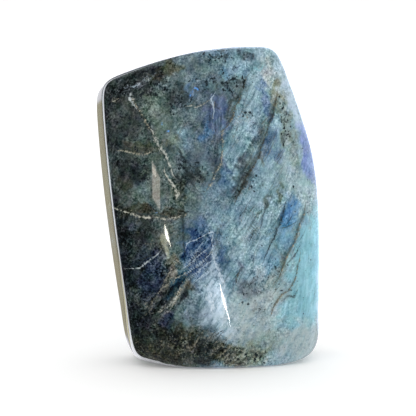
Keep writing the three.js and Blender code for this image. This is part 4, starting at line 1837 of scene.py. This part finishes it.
@dataclass
class PaleFloor:
    """The plain pale floor.

    Attributes:
        radius: how far it reaches, in metres.
        sides: how many corners its edge has.
        fibre_pitch: how far apart the paper's fibres are, in metres.
        glow: how much light the paper gives of itself.
    """

    radius: float = 40.0
    sides: int = 96
    fibre_pitch: float = 0.004
    glow: float = 0.14

    def build(self) -> bpy.types.Object:
        """Builds the floor, which the stone's polish does not mirror.

        Returns:
            The floor.
        """
        work = bmesh.new()
        work.faces.new([work.verts.new(self._corner(step)) for step in range(self.sides)])
        mesh = bpy.data.meshes.new("pale_floor")
        work.to_mesh(mesh)
        work.free()
        mesh.materials.append(self._finish())
        floor = bpy.data.objects.new("pale_floor", mesh)
        bpy.context.scene.collection.objects.link(floor)
        floor.visible_glossy = False
        return floor

    def _corner(self, step: int) -> Measures:
        """One corner of the floor's edge."""
        turn = 2 * math.pi * step / self.sides
        return self.radius * math.cos(turn), self.radius * math.sin(turn), 0.0

    def _finish(self) -> bpy.types.Material:
        """A matt finish like paper.

        Returns:
            The material.
        """
        material = bpy.data.materials.new("pale_paper")
        material.use_nodes = True
        bench = NodeBench(material.node_tree)
        fibres = bench.clouds(bench.node("ShaderNodeTexCoord", {}, {}, "Object"), self.fibre_pitch)
        paper = {
            "Base Color": Tint.FLOOR.linear,
            "Roughness": 0.7 + fibres * 0.2,
            "Specular IOR Level": 0.1,
            "Emission Color": (1.0, 1.0, 1.0),
            "Emission Strength": self.glow,
        }
        shader = bench.node("ShaderNodeBsdfPrincipled", {}, paper)
        bench.node("ShaderNodeOutputMaterial", {}, {"Surface": shader})
        return material


@dataclass(frozen=True)
class Streak:
    """A light placed so that its mirror image is a streak on the polished front.

    Attributes:
        name: the light's name.
        top: where the streak begins, in written millimetres to the right and up.
        bottom: where it ends.
        half_width: the half width of the streak.
        radiance: how bright the light is.
        colour: its colour.
        shape: the light's outline.
        halo: how bright a soft halo round the streak is, in parts of the streak's own brightness.
    """

    name: str
    top: tuple[float, float]
    bottom: tuple[float, float]
    half_width: float
    radiance: float
    colour: Colour = (1, 1, 1)
    shape: str = "ELLIPSE"
    halo: float = 0.0


STREAKS = (
    Streak("upper_window", (-21.9, 68.9), (-21.9, 58.0), 1.25, 4.0, (1.0, 0.88, 0.76), "RECTANGLE"),
    Streak("window_shoulder", (-22.6, 71.2), (-22.6, 67.6), 0.6, 4.0, (1.0, 0.88, 0.76), "RECTANGLE"),
    Streak("bright_gap", (-19.1, 49.8), (-17.9, 45.4), 0.42, 34, (1.0, 0.97, 0.84), halo=0.3),
    Streak("gap_line", (-19.4, 51.4), (-17.0, 43.0), 0.16, 22, (1.0, 0.97, 0.84)),
    Streak("gap_glow", (-19.8, 48.0), (-19.2, 43.5), 1.0, 4, (1.0, 0.97, 0.7), halo=0.5),
    Streak("gap_foot", (-18.4, 43.6), (-18.2, 40.0), 0.7, 4, (1.0, 0.97, 0.66), halo=0.3),
    Streak("lower_window", (0.0, 27.6), (1.8, 21.4), 0.46, 22, (1.0, 0.98, 0.97), halo=0.5),
    Streak("lower_line", (-0.9, 31.2), (3.3, 16.0), 0.15, 34),
    Streak("window_haze", (-2.0, 31.0), (0.6, 19.0), 1.2, 4, (0.8, 0.9, 1.0), halo=0.6),
    Streak("window_glow", (-4.6, 37.0), (0.0, 15.0), 2.4, 1.4, (0.72, 0.84, 1.0), halo=0.6),
)

# How wide the halo of a streak is at its steps, in parts of the streak's own width, and how much of what it
# gains in width it gains in length too.
HALO_STEPS = (1.5, 2.1, 3.0)
HALO_LENGTHENING = 0.3

# How bright the room looks to the stone's own colour, and where no card stands to its polish.
DAYLIGHT = (1.02, 1.02, 1.02)
BARE_ROOM = (0.06, 0.065, 0.07)


@dataclass(frozen=True)
class Card:
    """A bright or dark board in the room, as the polish mirrors it.

    Attributes:
        turn: where its middle is, in degrees round the stone; 0 is in front, 90 to the right.
        half_turn: its half width, in degrees.
        rise: how high its middle is, in degrees.
        half_rise: its half height, in degrees.
        softness: how wide its edges are, in degrees.
        colour: its colour and brightness.
    """

    turn: float
    half_turn: float
    rise: float
    half_rise: float
    softness: float
    colour: Colour


# The room from its darkest, widest parts to its smallest, brightest ones.
ROOM = (
    Card(0, 180, 90, 40, 15, (0.5, 0.52, 0.58)),
    Card(0, 180, -90, 45, 20, (0.25, 0.25, 0.26)),
    Card(180, 45, 0, 60, 12, (0.30, 0.31, 0.34)),
    Card(180, 45, -45, 32, 1, (0.40, 0.39, 0.37)),
    Card(110, 30, -45, 32, 8, (0.7, 0.7, 0.76)),
    Card(80, 22, 0, 80, 15, (0.6, 0.66, 0.74)),
    Card(118, 26, 0, 80, 14, (1.4, 1.55, 1.8)),
    Card(151, 26, 0, 80, 8, (3.4, 3.5, 4.2)),
    Card(160, 50, -42, 30, 2, (0.62, 0.61, 0.66)),
    Card(-172, 12, 2, 7, 1, (0.95, 0.95, 1.0)),
    Card(-157, 8, 20, 36, 1, (0.04, 0.04, 0.04)),
    Card(-170, 8.5, -8.3, 5, 0.5, (0.50, 0.46, 0.33)),
    Card(177, 4.5, -10, 7, 1, (0.95, 0.94, 1.0)),
    Card(-143, 12, 0, 60, 2, (4.0, 4.1, 4.4)),
    Card(-156, 9, -15.8, 3.2, 0.6, (1.9, 1.75, 1.25)),
    Card(-168, 11, -42, 22.5, 0.6, (2.1, 2.1, 2.25)),
    Card(-150, 11, -42, 22.5, 2, (3.8, 3.85, 4.1)),
    Card(-134, 8, -44, 24, 2, (6.0, 6.1, 6.5)),
)


@dataclass
class Studio:
    """The light, the surroundings and the camera.

    Attributes:
        unit: one written millimetre, in metres.
        form: the stone's shape, in which the lights are mirrored.
        azimuth: where the camera stands round the stone, in degrees; 0 looks straight at the front.
        elevation: how high it stands, in degrees.
        distance: how far it is from the stone's middle, in metres.
        lens: its focal length, in millimetres.
        aim: where it points, from the stone's middle, to the right and up, in written millimetres.
        light_distance: how far the mirrored lights are from the stone, in metres.
    """

    unit: float
    form: StoneForm = field(default_factory=StoneForm)
    azimuth: float = -9.5
    elevation: float = 7.0
    distance: float = 0.6
    lens: float = 149.3
    aim: tuple[float, float] = (-1.1, -1.55)
    light_distance: float = 1.2

    @property
    def backward(self) -> Vector:
        """The unit vector from the stone to the camera."""
        turn, rise = math.radians(self.azimuth), math.radians(self.elevation)
        return Vector((math.sin(turn) * math.cos(rise), -math.cos(turn) * math.cos(rise), math.sin(rise)))

    @property
    def eye(self) -> Vector:
        """Where the camera stands, before it is aimed."""
        return Vector(self.form.middle) * self.unit + self.backward * self.distance

    def build(self) -> None:
        """Sets up the camera, the surroundings and the lights."""
        self._camera()
        self._surroundings()
        for streak in STREAKS:
            self._mirrored_lights(streak)

    def _camera(self) -> None:
        """Makes the camera and sets it as the scene's own."""
        right = Vector((0, 0, 1)).cross(self.backward).normalized()
        up = self.backward.cross(right)
        shift = (right * self.aim[0] + up * self.aim[1]) * self.unit
        data = bpy.data.cameras.new("camera")
        data.lens = self.lens
        data.sensor_width = 36.0
        data.clip_start = 0.01
        data.clip_end = 200.0
        camera = bpy.data.objects.new("camera", data)
        bpy.context.scene.collection.objects.link(camera)
        turning = Matrix((right, up, self.backward)).transposed()
        camera.matrix_world = Matrix.Translation(self.eye + shift) @ turning.to_4x4()
        bpy.context.scene.camera = camera

    def _mirrored(self, x: float, z: float) -> Vector:
        """Where a light has to be so that its mirror image shows at a place of the front.

        Args:
            x: the place, to the right, in written millimetres.
            z: the place, over the foot.

        Returns:
            The light's place, in metres.
        """
        point, normal = self.form.front_point(x, z)
        spot = point * self.unit
        sight = (spot - self.eye).normalized()
        bounced = sight - 2 * sight.dot(normal) * normal
        return spot + bounced * self.light_distance

    def _mirrored_lights(self, streak: Streak) -> None:
        """Makes the light behind one streak and the soft ones of its halo.

        Args:
            streak: the streak.
        """
        top, bottom = self._mirrored(*streak.top), self._mirrored(*streak.bottom)
        x, z = ((a + b) / 2 for a, b in zip(streak.top, streak.bottom))
        middle = self._mirrored(x, z)
        side = self._mirrored(x + streak.half_width, z)
        facing = (middle - Vector((x, FRONT, z)) * self.unit).normalized()
        across = (top - bottom).cross(facing).normalized()
        turning = Matrix((across, facing.cross(across), facing)).transposed()
        place = Matrix.Translation(middle) @ turning.to_4x4()
        width, height = 2 * abs((side - middle).dot(across)), (top - bottom).length
        self._soft_light(streak, place, (width, height), streak.radiance)
        for step in HALO_STEPS if streak.halo else ():
            size = (width * step, height * (1 + (step - 1) * HALO_LENGTHENING))
            self._soft_light(streak, place, size, streak.radiance * streak.halo / step**2)

    @staticmethod
    def _soft_light(streak: Streak, place: Matrix, size: tuple[float, float], radiance: float) -> None:
        """Makes one area light.

        Args:
            streak: the streak that it belongs to.
            place: where it is and which way it faces.
            size: its width and height, in metres.
            radiance: how bright it is.
        """
        data = bpy.data.lights.new(streak.name, "AREA")
        data.shape = streak.shape
        data.size, data.size_y = size
        fill = 1 if streak.shape == "RECTANGLE" else math.pi / 4
        data.energy = 4 * fill * size[0] * size[1] * radiance
        data.color = streak.colour
        light = bpy.data.objects.new(streak.name, data)
        bpy.context.scene.collection.objects.link(light)
        light.matrix_world = place
        light.visible_camera = False

    @staticmethod
    def _surroundings() -> None:
        """Lights the scene softly from all round, and gives the polish a room to mirror."""
        world = bpy.data.worlds.new("studio")
        bpy.context.scene.world = world
        world.use_nodes = True
        bench = NodeBench(world.node_tree)
        right, back, up = bench.parts(bench.node("ShaderNodeTexCoord", {}, {}, "Generated"))
        turn = bench.math("ARCTAN2", right, 0 - back) * math.degrees(1)
        rise = bench.math("ARCSINE", up) * math.degrees(1)
        room: Source = BARE_ROOM
        for card in ROOM:
            beside = abs(bench.math("WRAP", turn - card.turn, 180, -180))
            above = abs(rise - card.rise)
            inside = beside.eased(card.half_turn - card.softness, card.half_turn + card.softness, 1, 0)
            inside *= above.eased(card.half_rise - card.softness, card.half_rise + card.softness, 1, 0)
            room = bench.mixed(inside, room, card.colour)
        mirrored = bench.node("ShaderNodeLightPath", {}, {}, "Is Glossy Ray")
        shader = bench.node("ShaderNodeBackground", {}, {"Color": bench.mixed(mirrored, DAYLIGHT, room)})
        bench.node("ShaderNodeOutputWorld", {}, {"Surface": shader})


def main() -> None:
    """Builds the scene."""
    logging.basicConfig(level=logging.INFO, format="%(name)s: %(message)s")
    low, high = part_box(NODE)
    unit = (high.z - low.z) / WRITTEN_HEIGHT
    stone = PolishedStone(unit).build()
    LOG.info("%s has %d faces", stone.name, len(stone.data.polygons))
    floor = PaleFloor().build()
    LOG.info("%s is %.1f m across", floor.name, floor.dimensions.x)
    Studio(unit).build()
    LOG.info("the studio is lit and the camera is set")
    bpy.context.scene.view_settings.view_transform = "Standard"


if __name__ == "__main__":
    main()
